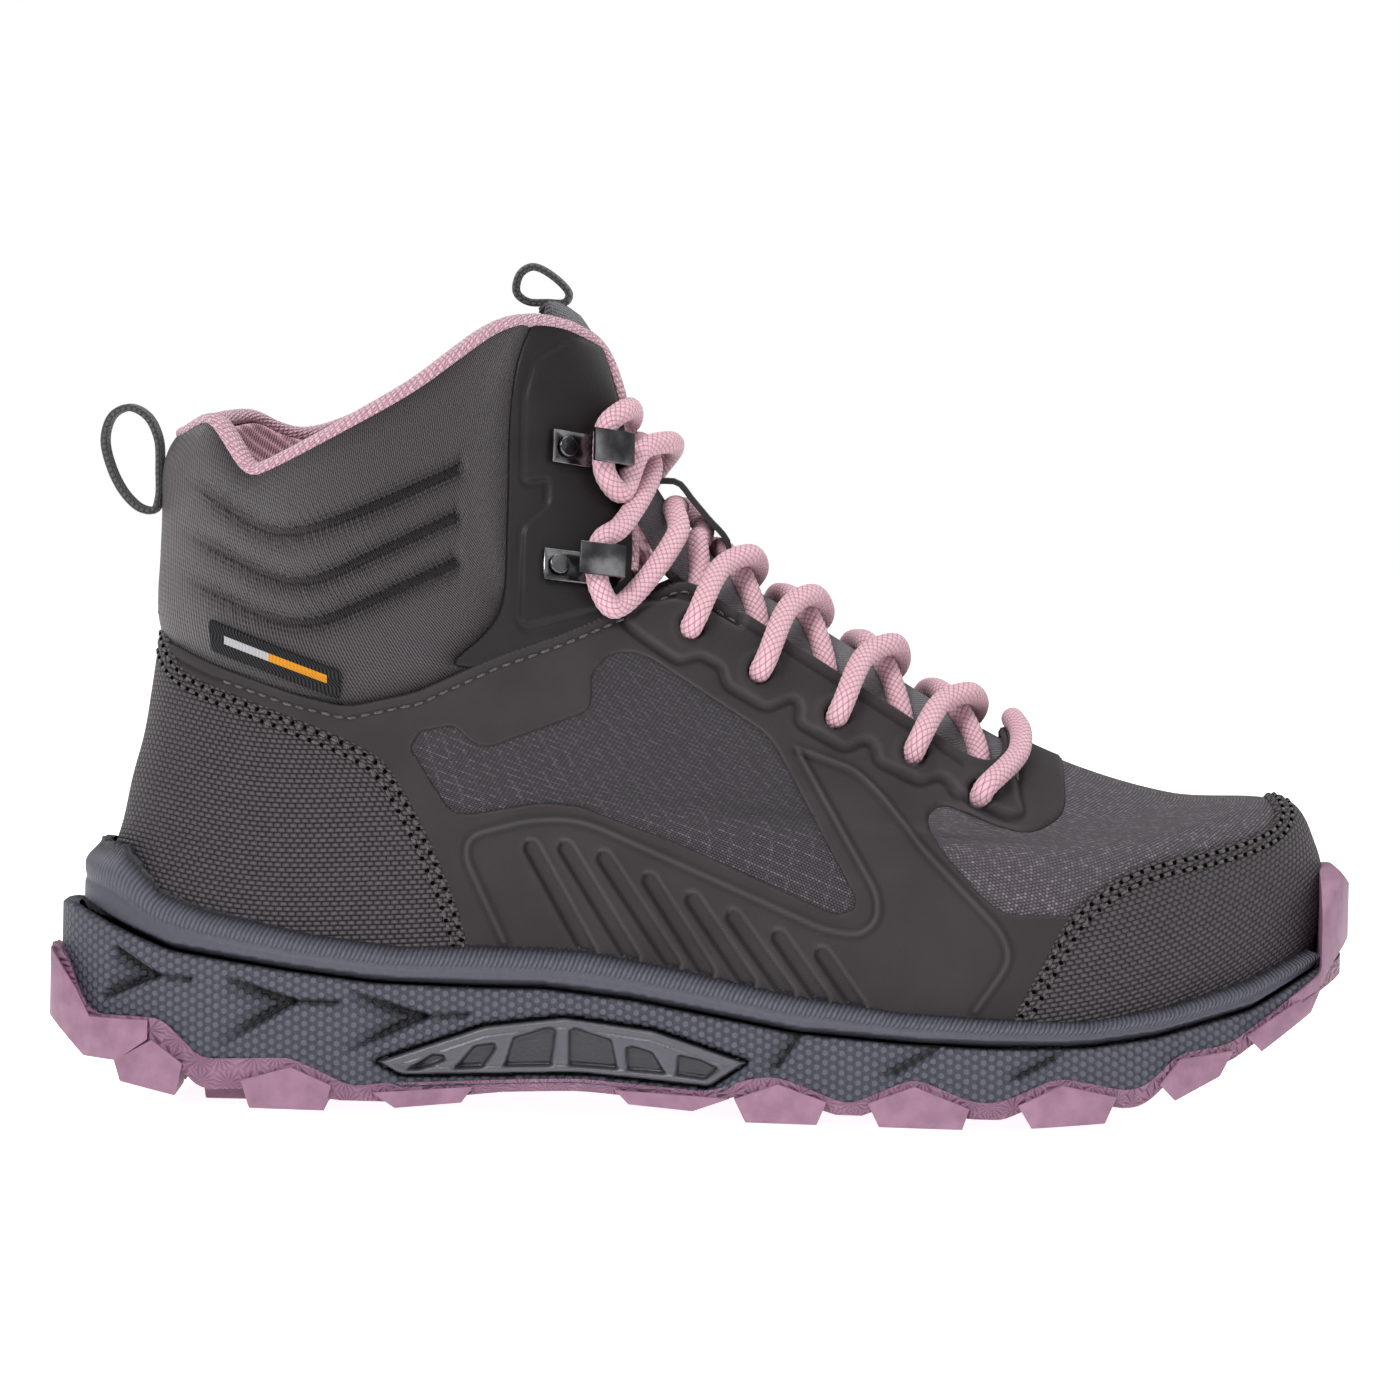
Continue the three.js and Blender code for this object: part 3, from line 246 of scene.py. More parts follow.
def node(material, kind, *values, **settings):
    """Adds a node; values go to its inputs in order, a socket being linked and a number set."""
    tree = material.node_tree
    made = tree.nodes.new("ShaderNode" + kind)
    for key, value in settings.items():
        setattr(made, key, value)
    for socket, value in zip(made.inputs, values):
        if isinstance(value, bpy.types.NodeSocket):
            tree.links.new(value, socket)
        elif value is not None:
            socket.default_value = value
    return made


def maths(material, operation, *values):
    return node(material, "Math", *values, operation=operation).outputs[0]


def split_uv(material, pitch_u, pitch_v):
    """The cloth coordinates, counted in pitches."""
    uv = node(material, "UVMap", uv_map="cloth").outputs[0]
    parts = node(material, "SeparateXYZ", uv).outputs
    return maths(material, "DIVIDE", parts[0], pitch_u), maths(material, "DIVIDE", parts[1], pitch_v)


def ripple(material, value):
    """0 between the threads and 1 on top of them, once for each whole number."""
    turned = maths(material, "MULTIPLY", value, math.pi)
    return maths(material, "ABSOLUTE", maths(material, "SINE", turned))


def speckle(material, scale, detail=2.0):
    """Noise over the piece's own place, from about 0.3 to 0.7."""
    place = node(material, "TexCoord").outputs["Object"]
    return node(material, "TexNoise", place, None, scale, detail).outputs[0]


def tint(material, factor, low, high, start=0.0, end=1.0):
    """A colour that runs from low to high as factor goes from start to end."""
    ramp = node(material, "ValToRGB", factor)
    ramp.color_ramp.elements[0].position = start
    ramp.color_ramp.elements[0].color = (*low, 1)
    ramp.color_ramp.elements[1].position = end
    ramp.color_ramp.elements[1].color = (*high, 1)
    return ramp.outputs[0]


def wire(material, colour=None, roughness=None, height=None, depth=0.0001, strength=1.0):
    """Joins a colour, a roughness and a height in metres to the shader."""
    tree = material.node_tree
    shader = tree.nodes["Principled BSDF"]
    if colour is not None:
        tree.links.new(colour, shader.inputs["Base Color"])
    if roughness is not None:
        tree.links.new(roughness, shader.inputs["Roughness"])
    if height is not None:
        bump = tree.nodes.new("ShaderNodeBump")
        bump.inputs["Strength"].default_value = strength
        bump.inputs["Distance"].default_value = depth
        tree.links.new(height, bump.inputs["Height"])
        tree.links.new(bump.outputs[0], shader.inputs["Normal"])


lace_cloth = new_material("lace_braid", LACE_PINK, 0.62, Sheen_Weight=0.25, Sheen_Roughness=0.4)
around, along_lace = split_uv(lace_cloth, 1 / BRAID_AROUND, BRAID_PITCH)
left = maths(lace_cloth, "ADD", around, along_lace)
right = maths(lace_cloth, "SUBTRACT", around, along_lace)
grain = maths(lace_cloth, "MULTIPLY", ripple(lace_cloth, left), ripple(lace_cloth, right))
fibres = ripple(lace_cloth, maths(lace_cloth, "MULTIPLY", left, 4.0))
braid = maths(lace_cloth, "MULTIPLY_ADD", fibres, 0.18, maths(lace_cloth, "POWER", grain, 0.45))
wire(
    lace_cloth,
    colour=tint(lace_cloth, braid, LACE_SHADE, LACE_PINK, 0.1, 0.85),
    height=braid,
    depth=0.00025,
)

lace_line = route_curve([Vector(point) + LAST_ORIGIN for point in LACE_ROUTE], LACE_STEP)


def braided_radius(k, angle):
    """The lace's radius at step k of its line, raised where two strands of the braid cross."""
    round_it = angle / (2 * math.pi) * BRAID_AROUND
    forward = k * LACE_STEP / BRAID_PITCH
    lift = np.abs(np.sin(math.pi * (round_it + forward)) * np.sin(math.pi * (round_it - forward)))
    return LACE_RADIUS + BRAID_RELIEF * (np.sqrt(lift) - 0.6)


def finish_piece(piece, material, slot, *nodes, body="root"):
    """The finish, the body and the carried node that a new piece stands for."""
    piece.data.materials.clear()
    piece.data.materials.append(material)
    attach(piece, body)
    if nodes:
        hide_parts(*nodes)
    return piece


lace = sweep("lace_braid", lace_line, LACE_SIDES, braided_radius)
finish_piece(lace, lace_cloth, "lace_braid", "lace")

# ---------------------------------------------------------------- lace tips
# Each end of the lace is shrunk into a clear plastic sleeve, through which the braid shows. The two
# tips are tucked in behind the shaft's flaps, so the carried pieces only get a gloss finish.
tip_sleeve = new_material("lace_tip_sleeve", (0.55, 0.3, 0.36), 0.22, Coat_Weight=0.6, Coat_Roughness=0.1)
wire(
    tip_sleeve,
    colour=tint(tip_sleeve, speckle(tip_sleeve, 900), LACE_SHADE, LACE_PINK, 0.35, 0.65),
    height=speckle(tip_sleeve, 500),
    depth=0.00003,
)


def carry(finish, *nodes):
    """Gives carried-over CAD nodes their finish."""
    for name in nodes:
        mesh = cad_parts[name].data
        mesh.materials.clear()
        mesh.materials.append(finish)


carry(tip_sleeve, "aglet_lateral", "aglet_medial")

# ---------------------------------------------------------------- lining, on the last
# The upper is pulled over a last and keeps its shape. Its inside is a pink spacer mesh, seen in the
# shaft. The last is given by ribs from the lasting line up (mm), and every panel is a cut of its skin.
MM = 0.001
RIBS = (  # back point, front point (x, z), sag, crown, sway, half widths from back to front
    (-133, 42, 136, 33, 1, 0, 1, 43, 39, 34.5, 42, 53, 50),
    (-132, 50, 138.5, 47, 0.75, 0, 1, 43, 39, 34.5, 41.5, 52, 50),
    (-129, 60, 136.5, 60, 0.5, 1, 1, 42, 38.5, 34, 40, 50, 47),
    (-127, 70, 128.5, 70.5, 0.3, 4, 0.8, 41, 37.5, 33.5, 38, 46, 43),
    (-124.5, 80, 104, 72, 0.15, 6, 0.5, 40, 37, 33.5, 36.5, 42, 39),
    (-123, 90, 78, 79.5, 0.05, 4, 0.2, 39, 36.5, 33.5, 35.5, 37, 32),
    (-122, 98, 53, 92, 0, 2, 0, 38, 36, 34, 34.5, 33, 27),
    (-121, 107, 31, 105.5, 0, 0, 0, 38, 36, 34, 34, 31, 25),
    (-120.3, 118, 8, 119, 0, 0, 0, 38, 36, 35, 34, 30, 24),
    (-120, 129, -6, 132.5, 0, 0, 0, 38, 37, 36, 34.5, 30, 24),
    (-120, 140, -14, 146, 0, 0, 0, 38, 37.5, 37, 35, 31, 25),
    (-117.5, 150, -19.5, 161, 0, 0, 0, 38, 38, 37.5, 36, 32, 27),
    (-113.5, 160, -29, 182, 0, 0, 0, 38, 38, 38, 37, 33, 29),
)
BASE_SAG = (0, -8.5, -11, -12, -13.5, -15.5, -17.5, -17.5, -12.5, 0)
SWAY = (0, -0.5, -1.5, -2.5, -1.5, 5)
END_ROUND = 2.3
SKIN_AROUND = 1140
SKIN_ROWS = 312


def along(table, s):
    """Catmull-Rom values of a table's rows, or of a flat list, at places s from 0 to 1."""
    table = np.asarray(table, float)
    table = table[:, None] if table.ndim == 1 else table
    last = len(table) - 1
    place = np.clip(s, 0, 1) * last
    i = np.minimum(np.floor(place).astype(int), last - 1)
    t = (place - i)[..., None]
    p1, p2 = table[i], table[i + 1]
    p0 = np.where((i > 0)[..., None], table[np.maximum(i - 1, 0)], 2 * p1 - p2)
    p3 = np.where((i + 2 <= last)[..., None], table[np.minimum(i + 2, last)], 2 * p2 - p1)
    bend = 2 * p0 - 5 * p1 + 4 * p2 - p3
    return 0.5 * (2 * p1 + (p2 - p0) * t + bend * t * t + (3 * p1 - p0 - 3 * p2 + p3) * t**3)


def last_points(turn, v):
    """The last's skin in mm: turn 0 is the toe ridge and 0.5 the heel, v runs up from the lasting line."""
    turn, v = np.broadcast_arrays(turn, v)
    rib = along(RIBS, v)
    c, s = np.cos(2 * math.pi * turn), np.sin(2 * math.pi * turn)
    c = np.sign(c) * np.abs(c) ** (2 / END_ROUND)
    s = np.sign(s) * np.abs(s) ** (2 / END_ROUND)
    t = 0.5 + 0.5 * c
    half = rib[..., 7:13]
    spans = half.shape[-1] - 1
    place = t * spans
    i = np.minimum(np.floor(place).astype(int), spans - 1)
    f = place - i

    def pick(k):
        return np.take_along_axis(half, np.clip(k, 0, spans)[..., None], axis=-1)[..., 0]

    p1, p2 = pick(i), pick(i + 1)
    p0 = np.where(i > 0, pick(i - 1), 2 * p1 - p2)
    p3 = np.where(i + 2 <= spans, pick(i + 2), 2 * p2 - p1)
    width = 0.5 * (2 * p1 + (p2 - p0) * f + (2 * p0 - 5 * p1 + 4 * p2 - p3) * f * f
                   + (3 * p1 - p0 - 3 * p2 + p3) * f**3)
    y = s * width
    x = rib[..., 0] * (1 - t) + rib[..., 2] * t
    sag = along(BASE_SAG, t)[..., 0] * rib[..., 4]
    crown = rib[..., 5] * (y / 30) ** 2 * t * t
    z = rib[..., 1] * (1 - t) + rib[..., 3] * t + sag - crown
    return np.stack([x, y + along(SWAY, t)[..., 0] * rib[..., 6], z], axis=-1)


def even_turns(v, count):
    """Turns that stand at even steps round the last at one height."""
    turns = np.linspace(0, 1, 4001)
    run = run_of(last_points(turns, v))
    return np.interp(np.linspace(0, run[-1], count + 1)[:-1], run, turns)


def skin_of(points, normals):
    """A closed skin: points and normals in rows, with the run along and up it as cloth coordinates."""
    step = np.linalg.norm(np.roll(points, -1, axis=1) - points, axis=2)
    reference = step[len(points) // 5]
    rise = np.linalg.norm(np.diff(points, axis=0), axis=2)
    return {
        "p": points,
        "n": normals,
        "u": np.concatenate([[0], np.cumsum(reference)]),
        "v": np.concatenate([np.zeros((1, points.shape[1])), np.cumsum(rise, axis=0)]),
    }


def last_skin(columns, rows):
    """The last's own skin, from the lasting line to the top, at the given fineness."""
    turns = even_turns(0.15, columns)
    points = last_points(turns[None, :], np.linspace(0, 1, rows + 1)[:, None])
    sideways = np.roll(points, -1, axis=1) - np.roll(points, 1, axis=1)
    normals = np.cross(sideways, np.gradient(points, axis=0))
    return skin_of(points, normals / np.linalg.norm(normals, axis=2)[..., None])


def rounded(points, radius, closed=True):
    """An outline with its corners rounded off, over no more than half of either edge."""
    points = np.asarray(points, float)
    if radius == 0:
        return points
    before, after = np.roll(points, 1, axis=0) - points, np.roll(points, -1, axis=0) - points
    long_before, long_after = np.linalg.norm(before, axis=1), np.linalg.norm(after, axis=1)
    start = points + before * np.minimum(radius / long_before, 0.5)[:, None]
    end = points + after * np.minimum(radius / long_after, 0.5)[:, None]
    t = np.linspace(0, 1, 5)[None, :, None]
    arc = start[:, None] * (1 - t) ** 2 + 2 * points[:, None] * t * (1 - t) + end[:, None] * t**2
    if closed:
        return arc.reshape(-1, 2)
    return np.concatenate([points[:1], arc[1:-1].reshape(-1, 2), points[-1:]])


def distance_to(points, x, z, closed=False, reach=12.0):
    """Distance in the side view from every (x, z) to a line, and whether a closed line holds it."""
    points = np.asarray(points, float)
    far = np.full(x.shape, reach)
    holds = np.zeros(x.shape, bool)
    low, high = points.min(axis=0) - reach, points.max(axis=0) + reach
    near = (x > low[0]) & (x < high[0]) & (z > low[1]) & (z < high[1])
    px, pz = x[near], z[near]
    best = np.full(px.shape, reach**2)
    odd = np.zeros(px.shape, bool)
    ends = np.roll(points, -1, axis=0) if closed else points[1:]
    for (ax, az), (bx, bz) in zip(points, ends):
        dx, dz = bx - ax, bz - az
        share = np.clip(((px - ax) * dx + (pz - az) * dz) / max(dx * dx + dz * dz, 1e-9), 0, 1)
        best = np.minimum(best, (px - ax - share * dx) ** 2 + (pz - az - share * dz) ** 2)
        if closed and abs(dz) > 1e-9:
            crosses = (az > pz) != (bz > pz)
            odd ^= crosses & (px < ax + (pz - az) * dx / dz)
    far[near] = np.sqrt(best)
    holds[near] = odd
    return (far, holds) if closed else far


def inside(points, x, z, radius=1.6):
    """Distance inside a closed outline in the side view, and negative outside it."""
    far, holds = distance_to(rounded(points, radius), x, z, closed=True)
    return np.where(holds, far, -far)


def smooth(value):
    """0 below 0, 1 above 1 and an even S between."""
    value = np.clip(value, 0, 1)
    return value * value * (3 - 2 * value)


def lip(depth, foot, top, width=1.0):
    """Height of a cut edge: foot at the edge, then up in a quarter round to top."""
    rise = np.sqrt(1 - (1 - np.clip(depth / width, 0, 1)) ** 2)
    return foot + (top - foot) * rise


def select_only(piece):
    bpy.ops.object.select_all(action="DESELECT")
    bpy.context.view_layer.objects.active = piece
    piece.select_set(True)


def cut_panel(name, skin, depth, height, rim=1.0, full=False):
    """A piece of a skin, where depth (mm inside its edge) is positive. Grid points next to the edge are
    moved onto it. height(depth, x, y, z) raises it, and may also give a mark for the finish to read, from
    which it paints shade where the mark is low and, on the film, highlight where it is high. Without a
    mark, the rise itself is the mark. rim is the thickness in mm: of the cut edge alone, or with full of a
    closed sheet."""
    place, normal = skin["p"].copy(), skin["n"].copy()
    depth = depth.copy()
    nearest = np.full(depth.shape, 0.5 + 1e-9)
    target_p, target_n, edge = place.copy(), normal.copy(), np.zeros(depth.shape, bool)
    for axis, shift in ((1, -1), (1, 1), (0, -1), (0, 1)):
        other = np.roll(depth, shift, axis=axis)
        crosses = (depth > 0) != (other > 0)
        if axis == 0:
            crosses[-1 if shift < 0 else 0] = False
        share = np.where(crosses, depth / np.where(crosses, depth - other, 1), 1)
        take = crosses & (share < nearest)
        nearest[take] = share[take]
        part = share[take][:, None]
        target_p[take] = place[take] * (1 - part) + np.roll(place, shift, axis=axis)[take] * part
        target_n[take] = normal[take] * (1 - part) + np.roll(normal, shift, axis=axis)[take] * part
        edge |= take
    depth[edge] = 0
    sign = np.sign(depth).astype(int)
    rows, columns = depth.shape
    index = np.arange(rows * columns).reshape(rows, columns)
    corner = [index[:-1], np.roll(index, -1, axis=1)[:-1], np.roll(index, -1, axis=1)[1:], index[1:]]
    signs = np.stack([sign.reshape(-1)[c] for c in corner], axis=-1).reshape(-1, 4)
    corners = np.stack(corner, axis=-1).reshape(-1, 4)
    column = np.broadcast_to(np.arange(columns), (rows - 1, columns)).reshape(-1)
    whole = (signs >= 0).all(axis=1) & (signs.max(axis=1) > 0)
    faces = corners[whole].tolist()
    steps = np.array([0, 1, 1, 0])
    face_u = (column[whole][:, None] + steps).reshape(-1).tolist()
    for k in range(4):
        ring = [(k + 1) % 4, (k + 2) % 4, (k + 3) % 4]
        split = (signs[:, k] < 0) & (signs[:, ring[1]] > 0) & (signs[:, ring[0]] == 0)
        split &= signs[:, ring[2]] == 0
        faces += corners[split][:, ring].tolist()
        face_u += (column[split][:, None] + steps[ring]).reshape(-1).tolist()
    flat = np.concatenate([np.asarray(face) for face in faces])
    used, again = np.unique(flat, return_inverse=True)
    p = target_p.reshape(-1, 3)[used]
    n = target_n.reshape(-1, 3)[used]
    n /= np.linalg.norm(n, axis=1)[:, None]
    rise = height(depth.reshape(-1)[used], p[:, 0], p[:, 1], p[:, 2])
    rise, mark = rise if isinstance(rise, tuple) else (rise, rise)
    p = (p + n * rise[:, None]) * MM + np.array(LAST_ORIGIN)
    split_at = np.cumsum([len(face) for face in faces])[:-1]
    piece = new_piece(name, p.tolist(), [part.tolist() for part in np.split(again, split_at)])
    add_cloth_uv(piece.data, skin["u"][np.array(face_u)] * MM, skin["v"].reshape(-1)[flat] * MM)
    # The 'rise' attribute holds the mark: finishes read it to paint shade in the hollows and, on the film,
    # highlight on the crests.
    piece.data.attributes.new("rise", "FLOAT", "POINT").data.foreach_set("value", mark)
    select_only(piece)
    solid = piece.modifiers.new("thickness", "SOLIDIFY")
    solid.thickness = rim * MM
    solid.offset = -1
    solid.use_rim_only = not full
    bpy.ops.object.modifier_apply(modifier=solid.name)
    return piece


def sunk(material, colour, low, high, darkest=0.25, lightest=1.0):
    """The colour with painted shade, darkened where the panel's mark falls from high to low (mm); a lightest
    over 1 paints highlight.
    """
    rise = node(material, "Attribute", attribute_name="rise").outputs["Fac"]
    light = node(material, "MapRange", rise, low, high, darkest, lightest).outputs[0]
    scaled = node(material, "VectorMath", colour, operation="SCALE")
    material.node_tree.links.new(light, scaled.inputs["Scale"])
    return scaled.outputs[0]


skin = last_skin(SKIN_AROUND, SKIN_ROWS)
X, Y, Z = (skin["p"][..., k] for k in range(3))
IS_INNER = np.broadcast_to(np.arange(SKIN_AROUND) < SKIN_AROUND // 2, X.shape)
SIDES = (("lateral", ~IS_INNER), ("medial", IS_INNER))
OUTSIDE = -9.0  # the depth given to what a piece leaves out

# Outlines as seen from the side, (x, z) in mm.
EDGE_HEEL = ((-130, 145), (-118, 146.5), (-113, 150), (-110, 150.5))
EDGE_BACK_OUTER = (*EDGE_HEEL, (-107, 147), (-101.5, 138.5), (-97, 140), (-81.5, 148.5), (-65, 158))
EDGE_BACK_INNER = (*EDGE_HEEL, (-105, 151), (-99, 147.5), (-92, 146), (-81.5, 149.5), (-65, 158))
EDGE_FRONT = ((-55.5, 165.5), (-47, 172), (-39, 174), (-30, 172.5), (-23.5, 168), (-20.5, 160.5),
              (-19, 155), (-18.5, 144), (-16, 124), (-16.5, 118), (-12, 90))
SHAFT_FOOT = ((60, 60), (60, -20), (-160, -20), (-160, 145))
QUARTER_TOP = ((-126, 103), (-117.5, 100), (-108, 96), (-90.5, 90.5), (-78.5, 88), (-63.5, 91.5),
               (-47, 99.5), (-32.5, 105), (-17, 112), (-7.5, 117), (-3.5, 117), (0.5, 114.5))
TONGUE_SIDE = ((-52, 172), (-46, 177), (-39, 179), (-31, 178.8), (-15, 170), (20, 140), (80, 95),
               (75, 68), (58, 66), (28, 80), (-12, 101), (-34, 122), (-46, 145))
SHAFT_SLOT = 13


def shaft_edge(is_inner, x, z):
    """Distance inside the shaft's top and front edge, which is cut lower on the outer side."""
    inner = inside((*EDGE_BACK_INNER, *EDGE_FRONT, *SHAFT_FOOT), x, z, radius=8)
    return np.where(is_inner, inner, inside((*EDGE_BACK_OUTER, *EDGE_FRONT, *SHAFT_FOOT), x, z, radius=8))


def laid(level):
    """The height of a layer that lies evenly on the last's skin, in mm."""
    return lambda d, x, y, z: np.full(d.shape, level)


in_shaft_edge = shaft_edge(IS_INNER, X, Z)
in_tongue = np.where(np.abs(Y) < 40, inside(TONGUE_SIDE, X, Z, radius=1.2), -12.0)

spacer_mesh = new_material("pink_spacer_mesh", (0.62, 0.36, 0.42), 0.9, Sheen_Weight=0.3)
u_cell, v_cell = split_uv(spacer_mesh, 0.0016, 0.0026)
cells = maths(
    spacer_mesh,
    "MULTIPLY",
    ripple(spacer_mesh, maths(spacer_mesh, "ADD", u_cell, maths(spacer_mesh, "MULTIPLY", v_cell, 0.5))),
    ripple(spacer_mesh, v_cell),
)
wire(
    spacer_mesh,
    colour=tint(spacer_mesh, cells, (0.60, 0.33, 0.39), (0.24, 0.10, 0.13), 0.45, 0.95),
    height=maths(spacer_mesh, "SUBTRACT", 1.0, cells),
    depth=0.0004,
)

LINING_DEPTH = 4.6  # under the last's skin, with the panels and the padding over it
INNER_SHEET = {"rim": 1.2, "full": True}  # closed sheets 1.2 mm thick
coarse = last_skin(SKIN_AROUND // 3, SKIN_ROWS // 3)
cX, cY, cZ = (coarse["p"][..., k] for k in range(3))
c_edge = shaft_edge(np.broadcast_to(np.arange(SKIN_AROUND // 3) < SKIN_AROUND // 6, cX.shape), cX, cZ)
c_tongue = np.where(np.abs(cY) < 22, inside(TONGUE_SIDE, cX, cZ, radius=1.2), -12.0)
c_slot = np.where((cX > -70) & (cZ > 112), np.abs(cY) - SHAFT_SLOT - 1, 20)
lining_cut = np.minimum(np.minimum(c_edge - 1.2, c_slot), -c_tongue - 2)
lining = cut_panel("lining_shell", coarse, lining_cut, laid(-LINING_DEPTH), **INNER_SHEET)
finish_piece(lining, spacer_mesh, "lining_mesh", "lining")

# ---------------------------------------------------------------- padding, puff and stiffener
# Between lining and panels lie a foam layer over the sides, a moulded puff over the toes and a
# moulded stiffener round the heel. Only the foam's dark scrim can be glimpsed, through the eyelets.
PUFF = ((88, 0), (88, 50), (96, 60), (112, 90), (170, 90), (170, 0))
STIFFENER = ((-150, 92), (-112, 92), (-90, 84), (-74, 74), (-66, 60), (-62, 0), (-150, 0))
MIDDLE_DEPTH = 2.2  # under the last's skin
scrim = new_material("foam_scrim", (0.03, 0.027, 0.03), 0.95)
wire(scrim, height=speckle(scrim, 1500), depth=0.0002)
board_finish = new_material("moulded_board", (0.55, 0.5, 0.42), 0.8)
wire(
    board_finish,
    colour=tint(board_finish, speckle(board_finish, 300), (0.45, 0.4, 0.33), (0.6, 0.56, 0.48)),
    height=speckle(board_finish, 900),
    depth=0.0001,
)
in_puff, in_stiffener = inside(PUFF, cX, cZ), inside(STIFFENER, cX, cZ)
BELOW_QUARTER_TOP = (*QUARTER_TOP, (60, 79), (150, 60), (150, -20), (-150, -20))
under_top = inside(BELOW_QUARTER_TOP, cX, cZ)
middle_layer = laid(-MIDDLE_DEPTH)
toe_puff = cut_panel("toe_puff_layer", coarse, in_puff, middle_layer, **INNER_SHEET)
finish_piece(toe_puff, board_finish, "stiffener_board", "toe_puff")
heel_stiffener = cut_panel("heel_stiffener_layer", coarse, in_stiffener, middle_layer, **INNER_SHEET)
finish_piece(heel_stiffener, board_finish, "stiffener_board", "heel_stiffener")
foam_cut = np.minimum(np.minimum(-in_puff, -in_stiffener) - 0.3, under_top)
foam_cut = np.minimum(foam_cut, -c_tongue - 1)
padding = cut_panel("padding_layer", coarse, foam_cut, middle_layer, **INNER_SHEET)
finish_piece(padding, scrim, "foam", "padding")

# ---------------------------------------------------------------- vamp and side windows
# The vamp is one piece of coarse purple-grey canvas over the toes, stretched and cemented. The side
# windows are a finer ripstop canvas that shows through the cut-outs of the film laid over it.
BIB_FRONT = ((66, 84), (80, 79), (80, 68.5), (76, 65.5), (71, 64), (64, 65.5), (54, 69.5), (51.5, 69.5),
             (48.5, 67), (52, 60), (62.5, 48.5), (67, 46.5), (78, 46.5))
TOE_CAP_EDGE = ((67.5, 24), (72, 31.5), (78.5, 44.5), (81.5, 48), (86, 52), (95, 57.5), (115, 61.5),
                (124.5, 64.5), (127.5, 67.5), (126, 70.5), (122, 75))
HEEL_PANEL_EDGE = ((-125, 107.5), (-121.5, 106.5), (-118, 98), (-114, 94), (-97, 88), (-80, 82),
                   (-70.5, 77.5), (-66, 71.5), (-59.5, 60), (-54, 48), (-49.5, 34))
WINDOW = ((-64.5, 79.5), (-62.5, 83), (-55, 84.5), (-52.5, 82), (-49.5, 80), (-46.5, 80), (-26, 88),
          (-25, 90), (-25, 96.5), (-21.5, 100.5), (-16.5, 101.5), (-12, 100), (13, 84.5), (15.5, 81.5),
          (33.5, 49), (33, 46.5), (29, 45.5), (-5.5, 60), (-27.5, 67.5), (-36, 68), (-52, 65), (-55.5, 66),
          (-60, 72.5))
VAMP = ((44, 100), (44, 30), (110, 10), (150, 60), (125, 90))
THROAT_GAP = ((0.5, 114.5), (60, 78.5), (66, 79), (66, 130), (-16.5, 180), (-16.5, 118))


def turned_uv(material, turn, pitch_u, pitch_v):
    """The cloth coordinates turned in the piece's plane, counted in pitches."""
    u, v = split_uv(material, 1.0, 1.0)
    c, s = math.cos(math.radians(turn)), math.sin(math.radians(turn))
    across = maths(material, "MULTIPLY_ADD", u, c, maths(material, "MULTIPLY", v, s))
    up = maths(material, "MULTIPLY_ADD", v, c, maths(material, "MULTIPLY", u, -s))
    return maths(material, "DIVIDE", across, pitch_u), maths(material, "DIVIDE", up, pitch_v)


def cell_noise(material, u, v):
    """A random value for each whole cell of two counted coordinates."""
    cell = node(material, "CombineXYZ", maths(material, "FLOOR", u), maths(material, "FLOOR", v))
    return node(material, "TexWhiteNoise", cell.outputs[0], noise_dimensions="2D").outputs[0]


def basket(material, u, v):
    """Rounded grains in brick order, with a random value for each."""
    across = maths(material, "MULTIPLY_ADD", maths(material, "FLOOR", v), 0.5, u)
    grain = maths(material, "MULTIPLY", ripple(material, across), ripple(material, v))
    return maths(material, "POWER", grain, 0.5), cell_noise(material, across, v)


canvas = new_material("vamp_canvas", (0.06, 0.05, 0.06), 0.85, Sheen_Weight=0.08, Specular_IOR_Level=0.25)
bump, chance = basket(canvas, *turned_uv(canvas, 12, 0.00088, 0.00072))
fleck = maths(canvas, "MULTIPLY", bump, maths(canvas, "POWER", chance, 4.0))
wire(
    canvas,
    colour=tint(canvas, maths(canvas, "MULTIPLY_ADD", fleck, 0.55, maths(canvas, "MULTIPLY", bump, 0.42)),
                (0.016, 0.013, 0.016), (0.23, 0.195, 0.225)),
    height=bump,
    depth=0.0003,
)
ripstop = new_material("window_ripstop", (0.04, 0.034, 0.04), 0.85, Sheen_Weight=0.06,
                       Specular_IOR_Level=0.25)
thread_u, thread_v = turned_uv(ripstop, -17, 0.00072, 0.00062)
bump, chance = basket(ripstop, thread_u, thread_v)
row = maths(ripstop, "LESS_THAN", maths(ripstop, "FRACT", maths(ripstop, "DIVIDE", thread_v, 4.0)), 0.26)
line = maths(ripstop, "LESS_THAN", maths(ripstop, "FRACT", maths(ripstop, "DIVIDE", thread_u, 6.0)), 0.17)
both = maths(ripstop, "MAXIMUM", row, maths(ripstop, "MULTIPLY", line, 0.7))
fleck = maths(ripstop, "MULTIPLY", both, bump)
fleck = maths(ripstop, "MULTIPLY", fleck, maths(ripstop, "POWER", chance, 1.5))
wire(
    ripstop,
    colour=tint(ripstop, maths(ripstop, "MULTIPLY_ADD", fleck, 0.6, maths(ripstop, "MULTIPLY", bump, 0.34)),
                (0.009, 0.0078, 0.0095), (0.17, 0.152, 0.175)),
    height=maths(ripstop, "MULTIPLY_ADD", fleck, 0.5, bump),
    depth=0.00022,
)

